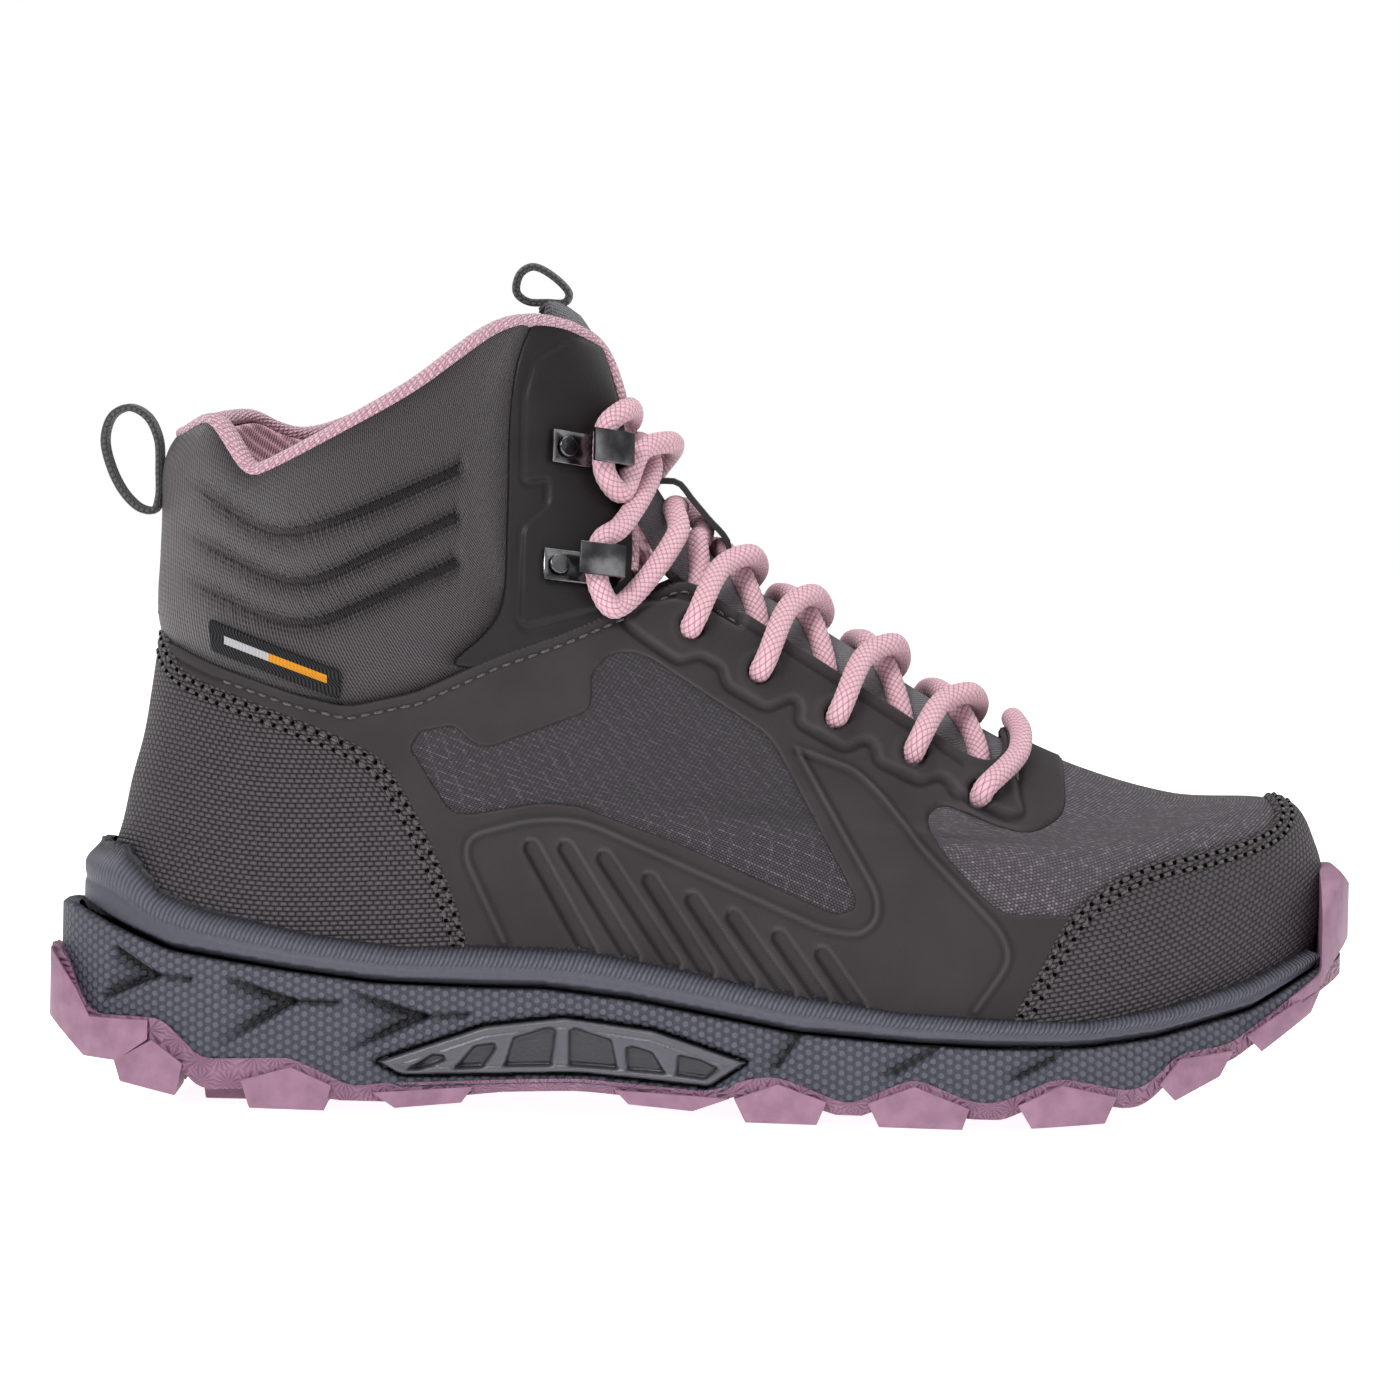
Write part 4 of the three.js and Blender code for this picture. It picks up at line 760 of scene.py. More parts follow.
VAMP_LEVEL = -0.8  # both canvases lie under the film
WINDOW_LEVEL = -0.85
WINDOW_LAP = 1.6  # how far a window reaches in under the film
edge_of_windows = inside(WINDOW, X, Z)
not_throat = -inside(THROAT_GAP, X, Z, radius=1)
in_vamp = np.minimum(inside(VAMP, X, Z), np.where(np.abs(Y) < 30, not_throat - 1, 9))
vamp = cut_panel("vamp_panel", skin, in_vamp, laid(VAMP_LEVEL))
finish_piece(vamp, canvas, "ripstop_canvas", "vamp")
for side, mask in SIDES:
    window_cut = np.where(mask, edge_of_windows + WINDOW_LAP, OUTSIDE)
    window = cut_panel("window_canvas_" + side, skin, window_cut, laid(WINDOW_LEVEL))
    finish_piece(window, ripstop, "ripstop_canvas", "side_window_" + side)

# ---------------------------------------------------------------- quarter overlay
# A matt film, hot-pressed over the canvas, with the press tool's ridges, plateaus and slanted grooves
# in it. One row of stitches runs along its top edge and one along each side of the throat.
EYELETS = ((-3.5, 106.5), (11.5, 97), (28.5, 87.5), (46, 79.5), (60.5, 71.5))
EYELET_RADIUS = 2.7
FILM_LAP = 4  # how far the film reaches in under the toe cap and the heel panel
STITCH_INSET = 2.6  # from the film's edge to its row of stitches
PLATEAU = ((-18.5, 108.5), (-14.5, 105), (-6, 99.5), (-1.5, 101), (3.5, 98.5), (4.5, 94.5), (13.5, 89.5),
           (19, 92), (21, 90.5), (20.5, 86.5), (31, 81), (35, 83), (37.5, 82), (38, 78.5), (47.5, 74),
           (51.5, 75.5), (54.5, 74), (55, 72), (67.5, 67), (70, 67.5), (69, 71), (66, 90), (10, 125),
           (7.5, 106.5), (-1.5, 111.5), (-7.5, 113), (-16.5, 112))
LOOP_RIDGE = ((-43, 37.5), (-52, 56), (-51, 60.5), (-38.5, 64), (-30, 64.5), (-24.5, 63.5), (27, 42),
              (34.5, 41), (38, 44), (38.5, 47), (38, 50.5), (20.5, 80))
SECOND_RIDGE = ((20, 81), (33, 76.5), (38.5, 71.5), (48.5, 59.5), (65, 43), (67, 38.5), (66.5, 35),
                (60, 25.5))
PRESSED_BARS = (((-37.5, 58), (-24.5, 35.5)), ((-30, 58), (-15, 34.5)), ((-21.5, 56), (-6, 33.5)),
                ((-11.5, 51.5), (1.5, 32)), ((-2, 47.5), (10.5, 30)), ((7, 44), (19, 28)),
                ((17, 40), (26.5, 27)), ((26.5, 36.5), (34.5, 25.5)))


def contours(surface, field, keep=None):
    """The lines along which field is zero, each as its points and the skin's normals there, in mm."""
    rows, columns = field.shape
    sign = field > 0
    place, normal = surface["p"], surface["n"]
    crossing = {}

    def cross(a, b):
        key = (a, b) if a < b else (b, a)
        if key not in crossing:
            (r0, c0), (r1, c1) = key
            f0, f1 = field[r0, c0], field[r1, c1]
            t = f0 / (f0 - f1)
            crossing[key] = (place[r0, c0] * (1 - t) + place[r1, c1] * t,
                             normal[r0, c0] * (1 - t) + normal[r1, c1] * t)
        return key

    ahead = np.roll(sign, -1, axis=1)
    mixed = sign[:-1].astype(int) + sign[1:] + ahead[:-1] + ahead[1:]
    links = {}
    for r, c in zip(*np.nonzero((mixed > 0) & (mixed < 4))):
        if keep is not None and not keep[r, c]:
            continue
        r, c = int(r), int(c)
        d = (c + 1) % columns
        ring = ((r, c), (r, d), (r + 1, d), (r + 1, c))
        cuts = [cross(a, b) for a, b in zip(ring, ring[1:] + ring[:1]) if sign[a] != sign[b]]
        for a, b in zip(cuts[::2], cuts[1::2]):
            links.setdefault(a, []).append(b)
            links.setdefault(b, []).append(a)
    lines, seen = [], set()
    starts = [key for key, value in links.items() if len(value) == 1] + list(links)
    for start in starts:
        if start in seen:
            continue
        line, here = [start], start
        seen.add(start)
        while True:
            onward = [key for key in links[here] if key not in seen]
            if not onward:
                break
            here = onward[0]
            seen.add(here)
            line.append(here)
        if len(line) > 8:
            lines.append(tuple(np.array([crossing[key][k] for key in line]) for k in (0, 1)))
    return lines


def evened(points, normals, step, passes=3):
    """A line at even steps, with the grid's small steps smoothed out of it."""
    for _ in range(passes):
        points[1:-1] = (points[:-2] + 2 * points[1:-1] + points[2:]) / 4
        normals[1:-1] = (normals[:-2] + 2 * normals[1:-1] + normals[2:]) / 4
    run = run_of(points)
    even = np.linspace(0, run[-1], max(2, int(run[-1] / step)) + 1)
    points = np.stack([np.interp(even, run, points[:, k]) for k in range(3)], axis=1)
    normals = np.stack([np.interp(even, run, normals[:, k]) for k in range(3)], axis=1)
    return points, normals / np.linalg.norm(normals, axis=1)[:, None]


def stitches(name, lines, height, spacing=2.9, length=2.3, radius=0.3, lean=0.0, between=False):
    """Thread stitches along lines on the skin, each a short bar with rounded, sunk ends, in mm. lean
    turns each one across the line, and between sets them in the gaps of a row without it."""
    around, rings = 6, 5
    s = np.linspace(-1, 1, rings)
    swell = np.sqrt(np.maximum(0, 1 - 0.85 * s**4))
    vertices, faces = [], []
    for points, normals in lines:
        points, normals = evened(points.copy(), normals.copy(), spacing / 2)
        points, normals = points[int(between)::2], normals[int(between)::2]
        if len(points) < 3:
            continue
        tangent = np.gradient(points, axis=0)
        tangent /= np.linalg.norm(tangent, axis=1)[:, None]
        for p, n, t in zip(points, normals, tangent):
            b = np.cross(n, t)
            t = t * math.cos(lean) + b * math.sin(lean)
            b = np.cross(n, t)
            base = len(vertices)
            for k in range(rings):
                centre = p + n * (height - 0.28 * s[k] ** 4) + t * s[k] * length / 2
                for j in range(around):
                    turn = 2 * math.pi * j / around
                    out = (math.cos(turn) * b + math.sin(turn) * n) * radius * swell[k]
                    vertices.append((centre + out) * MM + np.array(LAST_ORIGIN))
            for k in range(rings - 1):
                for j in range(around):
                    i = (j + 1) % around
                    a, c = base + k * around, base + (k + 1) * around
                    faces.append((a + j, a + i, c + i, c + j)[::-1])
            faces.append(tuple(base + j for j in range(around)))
            faces.append(tuple(base + (rings - 1) * around + j for j in range(around))[::-1])
    return new_piece(name, [tuple(v) for v in vertices], faces)


def join(parts, name):
    bpy.ops.object.select_all(action="DESELECT")
    for part in parts:
        part.select_set(True)
    bpy.context.view_layer.objects.active = parts[0]
    bpy.ops.object.join()
    joined = bpy.context.object
    joined.name = name
    return joined


film = new_material("quarter_film", (0.026, 0.022, 0.0235), 0.56, Specular_IOR_Level=0.17)
clouds = tint(film, speckle(film, 60), (0.0235, 0.0195, 0.0208), (0.0305, 0.0262, 0.0277), 0.3, 0.7)
# The film's colour carries painted light from the press relief's mark: painted shade in its valleys, and
# painted highlight up to about twice as bright on its crests and cut edges.
wire(
    film,
    colour=sunk(film, clouds, -0.7, 1.0, 0.35, 2.1),
    roughness=maths(film, "MULTIPLY_ADD", speckle(film, 160), 0.12, 0.50),
    height=speckle(film, 2600, 3.0),
    depth=0.00009,
    strength=0.7,
)
dark_thread = new_material("dark_thread", (0.028, 0.026, 0.024), 0.6, Sheen_Weight=0.3)
# Black patches without gloss, set between the stitches, are painted shade standing in for the dark inside of
# the needle holes.
needle_hole_shade = new_material("needle_hole_shade", (0.002, 0.002, 0.002), 1.0, Specular_IOR_Level=0.0)
twist = ripple(dark_thread, maths(dark_thread, "MULTIPLY", speckle(dark_thread, 500), 9.0))
wire(
    dark_thread,
    colour=tint(dark_thread, twist, (0.012, 0.011, 0.010), (0.075, 0.070, 0.062)),
    height=twist,
    depth=0.0001,
)

QUARTER = (*QUARTER_TOP, (60, 78.5), (66, 79), (66, 90), (80, 86), *BIB_FRONT[2:], (92, 46), (92, 0),
           (-140, 0), (-140, 103))
TOE_CAP = (*TOE_CAP_EDGE, (122, 90), (170, 90), (170, 0), (67.5, 0))
HEEL_PANEL = (*HEEL_PANEL_EDGE, (-49.5, 0), (-160, 0), (-160, 107.5))


def from_eyelets(x, z):
    return np.min([np.hypot(x - a, z - b) for a, b in EYELETS], axis=0)


in_toe_cap = inside(TOE_CAP, X, Z, radius=6)
in_heel_panel = inside(HEEL_PANEL, X, Z, radius=6)
quarter_edge = inside(QUARTER, X, Z, radius=3)
in_quarter = np.minimum(quarter_edge, -edge_of_windows)
in_quarter = np.minimum(in_quarter, np.minimum(FILM_LAP - in_toe_cap, FILM_LAP - in_heel_panel))
in_quarter = np.minimum(in_quarter, from_eyelets(X, Z) - EYELET_RADIUS)


def from_sewn_edge(x, z):
    """Distance from the film's top and throat edge, along which it is stitched."""
    return np.where(x < 57, distance_to((*QUARTER_TOP, (60, 78.5)), x, z), 9.0)


def ring_at(away, middle, width):
    """A smooth ridge 1 high where away comes to middle, and about width wide on either side."""
    return np.exp(-(((away - middle) / width) ** 2))


def pressed(d, x, y, z):
    """The press tool's relief, and with it a mark: painted highlight on the crests and painted shade in the
    valleys.
    """
    visible = np.minimum(-inside(WINDOW, x, z), inside(QUARTER, x, z, radius=3))
    rise = lip(visible, -0.75, 0, 0.6)
    # Painted highlight along the film's cut edge.
    mark = 0.9 * ring_at(visible, 0, 0.45) * (visible < 4)
    plateau = inside(PLATEAU, x, z, radius=1.5)
    rise = rise + 0.75 * smooth(plateau / 0.9 + 0.4) - 0.35 * ring_at(plateau, -0.9, 0.6)
    # Painted highlight along the plateau's top edge and painted shade at its foot.
    mark = mark + 0.55 * ring_at(plateau, 0.6, 0.5) - 0.6 * ring_at(plateau, -0.8, 0.6)
    for ridge in (LOOP_RIDGE, SECOND_RIDGE):
        away = distance_to(rounded(ridge, 3, closed=False), x, z)
        rise = rise + 0.75 * ring_at(away, 0, 0.7)
        # Painted highlight on the ridge's crest and painted shade just beside it.
        mark = mark + 0.75 * ring_at(away, 0, 0.45) - 0.4 * ring_at(away, 1.1, 0.5)
    for top, foot in PRESSED_BARS:
        away = distance_to((top, foot), x, z)
        left = (x - foot[0]) * (top[1] - foot[1]) - (z - foot[1]) * (top[0] - foot[0]) < 0
        rise = rise - 0.75 * smooth((1.7 - away) / 0.7) + 0.4 * ring_at(away, 2.2, 0.5)
        # Painted shade along each bar's left side and painted highlight along its right side.
        mark = mark + np.where(left, -0.65, 0.15) * ring_at(away, 1.4, 0.55)
        mark = mark + np.where(left, 0.2, 0.8) * ring_at(away, 2.1, 0.4)
    rise = rise + 0.35 * ring_at(from_eyelets(x, z), 3.9, 0.7)
    dent = ring_at(from_sewn_edge(x, z), STITCH_INSET, 0.55)
    # Painted shade in the dent along the row of stitches.
    return rise - 0.35 * dent, mark - 0.5 * dent


quarter = cut_panel("quarter_overlay_panel", skin, in_quarter, pressed)
finish_piece(quarter, film, "welded_film", "quarter_overlay")
sewn_edge = from_sewn_edge(X, Z)
near_edge = (quarter_edge[:-1] > 0.5) & (quarter_edge[:-1] < 5) & (sewn_edge[:-1] < 5)
top_rows = contours(skin, sewn_edge - STITCH_INSET, near_edge & (in_heel_panel[:-1] < -1))
row = stitches("quarter_stitches", top_rows, -0.12, spacing=3.0, length=2.1, radius=0.3)
finish_piece(row, dark_thread, "welded_film")

# A bar tack, many short stitches side by side, stops the throat's front corner from tearing.
BAR_TACK_AT = 68.2
tack_line = contours(skin, X - BAR_TACK_AT, Z[:-1] > 74.5)
bar_tack = stitches("bar_tack", tack_line, 0.1, spacing=0.6, length=2.6, radius=0.32, lean=math.pi / 2)
finish_piece(bar_tack, dark_thread, "welded_film")

# ---------------------------------------------------------------- toe cap and heel panel
# Both are heavy nylon in a ballistic basket weave, hemmed and held by two rows of stitches that pull
# the cloth down into a pair of grooves.
ballistic = new_material("ballistic_nylon", (0.05, 0.044, 0.048), 0.45, Specular_IOR_Level=0.28)
bump, chance = basket(ballistic, *turned_uv(ballistic, 8, 0.00185, 0.00108))
thread = maths(ballistic, "MULTIPLY_ADD", chance, 0.1, maths(ballistic, "MULTIPLY", bump, 0.85))
wire(
    ballistic,
    colour=tint(ballistic, thread, (0.004, 0.0033, 0.004), (0.082, 0.069, 0.079), 0.15, 1.0),
    roughness=maths(ballistic, "MULTIPLY_ADD", bump, -0.15, 0.62),
    height=bump,
    depth=0.0005,
)
HEM_ROWS = (1.5, 3.6)  # from the hem to its two rows of stitches
TOE_CAP_LEVEL = 0.5
HEEL_PANEL_LEVEL = 0.3


def hemmed(level):
    """The height of a panel with a turned hem, dented along its rows and full between them."""
    def height(d, x, y, z):
        rise = lip(d, level - 1.1, level, 1.1)
        for away in HEM_ROWS:
            rise = rise - 0.32 * ring_at(d, away, 0.55)
        return rise + 0.22 * ring_at(d, sum(HEM_ROWS) / 2, 0.5)
    return height


toe_cap = cut_panel("toe_cap_panel", skin, in_toe_cap, hemmed(TOE_CAP_LEVEL))
finish_piece(toe_cap, ballistic, "ballistic_nylon", "toe_cap")
heel_panel = cut_panel("heel_panel_panel", skin, in_heel_panel, hemmed(HEEL_PANEL_LEVEL))
finish_piece(heel_panel, ballistic, "ballistic_nylon", "heel_panel")
above_welt = Z[:-1] > 24
for name, field, level in (
    ("toe_cap_stitches", in_toe_cap, TOE_CAP_LEVEL),
    ("heel_stitches", in_heel_panel, HEEL_PANEL_LEVEL),
):
    keep = above_welt & (field[:-1] < 5)
    lines = [line for away in HEM_ROWS for line in contours(skin, field - away, keep)]
    finish_piece(stitches(name, lines, level - 0.1, length=1.9, radius=0.36), dark_thread, "ballistic_nylon")
    # Painted shade: a black patch in each gap of the rows stands for its needle hole.
    holes = stitches(name + "_holes", lines, level - 0.16, length=0.9, radius=0.5, between=True)
    finish_piece(holes, needle_hole_shade, "ballistic_nylon")

# ---------------------------------------------------------------- ankle collar
# Foam under a ribbed satin knit. Three chevron channels are moulded into the foam, sharp and deep at
# their front ends and shallower round the back; painted shade darkens them most at their front ends.
HOOK_PANEL_BACK = ((-36, 180), (-42.5, 166), (-44, 152), (-44, 132), (-44.5, 112), (-48, 105), (-58, 97))
HOOK_PANEL = (*HOOK_PANEL_BACK, (10, 97), (10, 180))
CHANNELS = (
    ((-54, 141), (-74, 131.5), (-93, 124.5), (-104, 130), (-113, 137)),
    ((-55.5, 130), (-73, 121.5), (-89, 113.5), (-103, 119.5), (-116.5, 127)),
    ((-55.5, 120), (-73, 111.5), (-88.5, 104.5), (-103, 110), (-117, 117.5)),
)
COLLAR_SWELL = 2.8  # how far the foam stands up from the collar's seams
COLLAR_LAP = 2.5  # how far collar and hook panels reach in under the film
satin = new_material("collar_satin", (0.055, 0.048, 0.05), 0.42, Sheen_Weight=0.12, Sheen_Roughness=0.35,
                     Specular_IOR_Level=0.3)
rib_u, rib_v = turned_uv(satin, 4, 0.00115, 0.0011)
ribs = maths(satin, "MULTIPLY", ripple(satin, rib_u), 0.8)
knit = maths(satin, "MULTIPLY_ADD", ripple(satin, rib_v), 0.22, ribs)
sheer = tint(satin, knit, (0.006, 0.0048, 0.0054), (0.098, 0.082, 0.090), 0.15, 0.95)
# Painted shade: the knit is darkened where the swell falls to its seams and down into the channels.
wire(
    satin,
    colour=sunk(satin, sheer, -1.0, 1.3, 0.25),
    height=knit,
    depth=0.0005,
)
in_hook_panel = inside(HOOK_PANEL, X, Z, radius=6)
above_top = -inside(BELOW_QUARTER_TOP, X, Z, radius=6)
in_collar = np.minimum(np.minimum(in_shaft_edge, -in_hook_panel + 0.8), above_top + COLLAR_LAP)


def swollen(d, x, y, z):
    """The foam's swell away from its seams, with the three moulded channels sunk into it."""
    seams = np.maximum(inside(HOOK_PANEL, x, z, radius=6), inside(BELOW_QUARTER_TOP, x, z, radius=6))
    edge_d = np.minimum(-seams, d + 0.8)
    rise = -1.0 + COLLAR_SWELL * (1 - np.exp(-np.clip(edge_d, 0, None) / 3.6))
    for channel in CHANNELS:
        away = distance_to(rounded(channel, 9, closed=False), x, z, reach=16)
        ahead = smooth((x + 118) / 14) * smooth((-52.5 - x) / 3)
        deep = 0.55 + 0.45 * smooth((x + 100) / 30)
        rise = rise - ahead * deep * (1.9 * np.exp(-away / 1.1) + 1.1 * ring_at(away, 0, 3.4))
    return rise


collar = cut_panel("ankle_collar_panel", skin, in_collar, swollen, rim=1.5)
finish_piece(collar, satin, "collar_satin", "ankle_collar")

# ---------------------------------------------------------------- hook panels
# Two panels of a darker coated film, one on each side of the shaft's front, fused over the stays that
# the hooks are riveted to. The press raises a shield under each pair of hooks.
SHIELD = ((-24, 168), (-30, 170), (-38.5, 164.5), (-40.5, 157), (-40.5, 138), (-35, 139), (-35, 133),
          (-40.5, 128), (-41, 108), (-39.5, 106.5), (-20, 112), (-10, 120), (-22, 160.5))
coated = new_material("hook_panel_film", (0.012, 0.0102, 0.0108), 0.44, Specular_IOR_Level=0.2)
wire(
    coated,
    colour=tint(coated, speckle(coated, 80), (0.011, 0.0095, 0.010), (0.015, 0.0132, 0.0138), 0.3, 0.7),
    height=speckle(coated, 1900, 3.0),
    depth=0.00007,
    strength=0.6,
)
hook_cut = np.minimum(np.minimum(in_shaft_edge, in_hook_panel), above_top + COLLAR_LAP)


def shielded(d, x, y, z):
    """A cut edge, the raised shield and the groove round it."""
    edge_d = np.minimum(d, inside(HOOK_PANEL, x, z, radius=6))
    plateau = inside(SHIELD, x, z, radius=1.5)
    groove = 0.25 * ring_at(plateau, -0.8, 0.6)
    return lip(edge_d, -1.0, -0.3, 0.9) + 0.55 * smooth(plateau / 1.0 + 0.4) - groove


for side, mask in SIDES:
    panel = cut_panel("hook_film_" + side, skin, np.where(mask, hook_cut, OUTSIDE), shielded)
    finish_piece(panel, coated, "hook_film", "hook_panel_" + side)

# ---------------------------------------------------------------- edge binding
# A knitted pink tape folded over the shaft's raw edge, from the foot of one hook panel up and round
# the back to the other.
BINDING_FOOT = 118.6  # height of its lower ends
boucle = new_material("boucle_binding", (0.60, 0.33, 0.40), 0.9, Sheen_Weight=0.5)
loop_u, loop_v = split_uv(boucle, 0.0009, 0.0013)
leaning = maths(boucle, "MULTIPLY_ADD", loop_v, 0.5, loop_u)
terry = maths(boucle, "MULTIPLY", ripple(boucle, leaning), ripple(boucle, loop_v))
terry = maths(boucle, "MULTIPLY_ADD", speckle(boucle, 1100), 0.7, terry)
wire(
    boucle,
    colour=tint(boucle, terry, (0.26, 0.11, 0.15), (0.66, 0.39, 0.46), 0.2, 1.0),
    height=terry,
    depth=0.0005,
)


def turn_outwards(piece):
    select_only(piece)
    bpy.ops.object.mode_set(mode="EDIT")
    bpy.ops.mesh.select_all(action="SELECT")
    bpy.ops.mesh.normals_make_consistent(inside=False)
    bpy.ops.object.mode_set(mode="OBJECT")


def banded(name, points, normals, section, closed=False):
    """A strip along a line on or off the skin: section gives (out, across) places in mm."""
    tangent = np.gradient(points, axis=0)
    if closed:
        tangent = np.roll(points, -1, axis=0) - np.roll(points, 1, axis=0)
    tangent /= np.linalg.norm(tangent, axis=1)[:, None]
    across = np.cross(tangent, normals)
    across /= np.linalg.norm(across, axis=1)[:, None]
    out = np.cross(across, tangent)
    shape = np.asarray(section, float)
    ring = points[:, None] + out[:, None] * shape[None, :, :1] + across[:, None] * shape[None, :, 1:]
    count, around = len(points), len(shape)
    k, j = np.meshgrid(np.arange(count if closed else count - 1), np.arange(around), indexing="ij")
    i, m = (j + 1) % around, (k + 1) % count
    quads = np.stack([k * around + j, k * around + i, m * around + i, m * around + j], axis=-1).reshape(-1, 4)
    faces = quads.tolist()
    if not closed:
        faces += [list(range(around))[::-1], [(count - 1) * around + n for n in range(around)]]
    piece = new_piece(name, (ring.reshape(-1, 3) * MM + np.array(LAST_ORIGIN)).tolist(), faces)
    step = np.linalg.norm(np.roll(shape, -1, axis=0) - shape, axis=1)
    round_it = np.concatenate([[0], np.cumsum(step)]) * MM
    run = run_of(points) * MM
    run = np.append(run, run[-1])
    u = round_it[np.stack([j, j + 1, j + 1, j], axis=-1).reshape(-1)]
    v = run[np.stack([k, k, k + 1, k + 1], axis=-1).reshape(-1)]
    add_cloth_uv(piece.data, u, v)
    turn_outwards(piece)
    return piece


def oval(out, across, middle=0.0, sides=16, power=2.0):
    """A strip's section from its two half widths; a higher power squares its corners."""
    turn = 2 * math.pi * np.arange(sides) / sides
    c, s = np.cos(turn), np.sin(turn)
    c, s = np.sign(c) * np.abs(c) ** (2 / power), np.sign(s) * np.abs(s) ** (2 / power)
    return np.stack([middle + out * c, across * s], axis=1)


edge_lines = contours(skin, in_shaft_edge, (Z[:-1] > BINDING_FOOT) & (X[:-1] < 20))
bands = []
for number, (points, normals) in enumerate(edge_lines):
    points, normals = evened(points, normals, 0.7, passes=8)
    bands.append(banded("binding_%d" % number, points, normals, oval(2.7, 1.75, middle=-2.2)))
binding = join(bands, "edge_binding") if len(bands) > 1 else bands[0]
binding.name = "edge_binding"
finish_piece(binding, boucle, "lining_mesh", "collar_binding")

# ---------------------------------------------------------------- tongue
# The tongue closes the throat under the laces. It is foam between two layers of a dark woven cloth,
# sewn in under the front of the throat and free at its upper end.
weave = new_material("tongue_weave", (0.05, 0.048, 0.055), 0.8, Sheen_Weight=0.2)
bump, chance = basket(weave, *turned_uv(weave, 0, 0.0011, 0.0009))
wire(
    weave,
    colour=tint(weave, maths(weave, "MULTIPLY_ADD", chance, 0.3, maths(weave, "MULTIPLY", bump, 0.7)),
                (0.022, 0.021, 0.024), (0.17, 0.165, 0.185)),
    height=bump,
    depth=0.0003,
)
TONGUE_HALF = 17.5
tongue_cut = np.minimum(in_tongue, TONGUE_HALF - np.abs(Y))


def padded_tongue(d, x, y, z):
    """The tongue's face under the last's skin, thinning towards its sewn edge."""
    return -3.6 + 1.4 * (1 - np.exp(-np.clip(d, 0, None) / 3.0))


tongue = cut_panel("tongue_pad", skin, tongue_cut, padded_tongue, rim=4.2, full=True)
finish_piece(tongue, weave, "tongue_fabric", "tongue")

# ---------------------------------------------------------------- woven label
# A black woven tape with a plain stripe in two colours. Its upper edge is caught in the seam under the
# collar, and it lies free on the collar's swell below that.
LABEL_AT = ((-108, 99.5), (-108, 106.5), (-79.5, 95.8), (-80, 89.5))
tape = new_material("label_tape", (0.006, 0.006, 0.0065), 0.6, Specular_IOR_Level=0.1)
zig_u, zig_v = turned_uv(tape, 0, 0.0011, 0.0022)
zig = ripple(tape, maths(tape, "ADD", zig_u, maths(tape, "PINGPONG", zig_v, 1.0)))
STRIPE_SLOPE = 0.345  # the stripe falls towards the toe, as the tape does
STRIPE_HEIGHT = 0.0655
STRIPE_HALF = 0.0009
STRIPE_START, STRIPE_AMBER, STRIPE_END = -0.1055, -0.0955, -0.0825  # along the boot
along_tape, _, up_tape = node(tape, "SeparateXYZ", node(tape, "TexCoord").outputs["Object"]).outputs
off_line = maths(tape, "ADD", up_tape, maths(tape, "MULTIPLY", along_tape, STRIPE_SLOPE))
off_line = maths(tape, "ABSOLUTE", maths(tape, "SUBTRACT", off_line, STRIPE_HEIGHT))
stripe = maths(tape, "LESS_THAN", off_line, STRIPE_HALF)
stripe = maths(tape, "MULTIPLY", stripe, maths(tape, "LESS_THAN", along_tape, STRIPE_END))
stripe = maths(tape, "MULTIPLY", stripe, maths(tape, "GREATER_THAN", along_tape, STRIPE_START))
amber = maths(tape, "GREATER_THAN", along_tape, STRIPE_AMBER)
stripe_colour = tint(tape, amber, (0.36, 0.36, 0.38), (0.55, 0.22, 0.015))
woven_colour = tint(tape, zig, (0.002, 0.002, 0.002), (0.028, 0.028, 0.031), 0.3, 1.0)
label_colour = node(tape, "Mix", data_type="RGBA")
MIX_FACTOR, MIX_A, MIX_B, MIX_RESULT = 0, 6, 7, 2  # the Mix node's colour sockets
tape.node_tree.links.new(stripe, label_colour.inputs[MIX_FACTOR])
tape.node_tree.links.new(woven_colour, label_colour.inputs[MIX_A])
tape.node_tree.links.new(stripe_colour, label_colour.inputs[MIX_B])
wire(
    tape,
    colour=label_colour.outputs[MIX_RESULT],
    height=maths(tape, "MULTIPLY_ADD", stripe, 0.8, zig),
    depth=0.0002,
)


def over_collar(d, x, y, z):
    """1 mm over the collar's swell."""
    return np.maximum(swollen(np.full(d.shape, 9.0), x, y, z), 0.3) + 1.0


label_cut = np.where(IS_INNER, OUTSIDE, inside(LABEL_AT, X, Z, radius=0.5))
label = cut_panel("label_tape", skin, label_cut, over_collar, rim=0.6, full=True)
finish_piece(label, tape, "label_tape", "label_flap", body="label_flap")


# ---------------------------------------------------------------- webbing
# The pull loops at the heel and on the tongue, the strap up the back and the lace keeper on the tongue
# are all dark polyester webbing, cut to length and sewn down at their ends.
WEBBING_THICK = 1.7
HEEL_LOOP_WIDTH = 13
TONGUE_LOOP_WIDTH = 12
STRAP_HALF = 6.5
STRAP_FOOT, STRAP_TOP = 106.0, 128.5
webbing = new_material("dark_webbing", (0.03, 0.029, 0.033), 0.7, Sheen_Weight=0.2)
across_w, along_w = split_uv(webbing, 0.0011, 0.0013)
bump, _ = basket(webbing, along_w, across_w)
wire(
    webbing,
    colour=tint(webbing, bump, (0.006, 0.006, 0.007), (0.065, 0.063, 0.070), 0.1, 1.0),
    height=bump,
    depth=0.00035,
)


def loop_band(name, path, thickness, width):
    """Webbing bent in the side view round a closed path of (x, z) points."""
    points = [Vector((x * MM, 0, z * MM)) for x, z in path]
    around = route_curve([points[-1], *points, points[0], points[1]], 0.0006)
    from_start = np.linalg.norm(around - np.array(points[0]), axis=1)
    half_way = len(around) // 2
    first = int(np.argmin(from_start[: len(around) // 3]))
    again = half_way + int(np.argmin(from_start[half_way:]))
    ring = around[first:again] / MM
    tangent = np.roll(ring, -1, axis=0) - np.roll(ring, 1, axis=0)
    normals = np.cross(tangent, (0, 1, 0))
    normals /= np.linalg.norm(normals, axis=1)[:, None]
    return banded(name, ring, normals, oval(thickness / 2, width / 2, sides=28, power=5), closed=True)


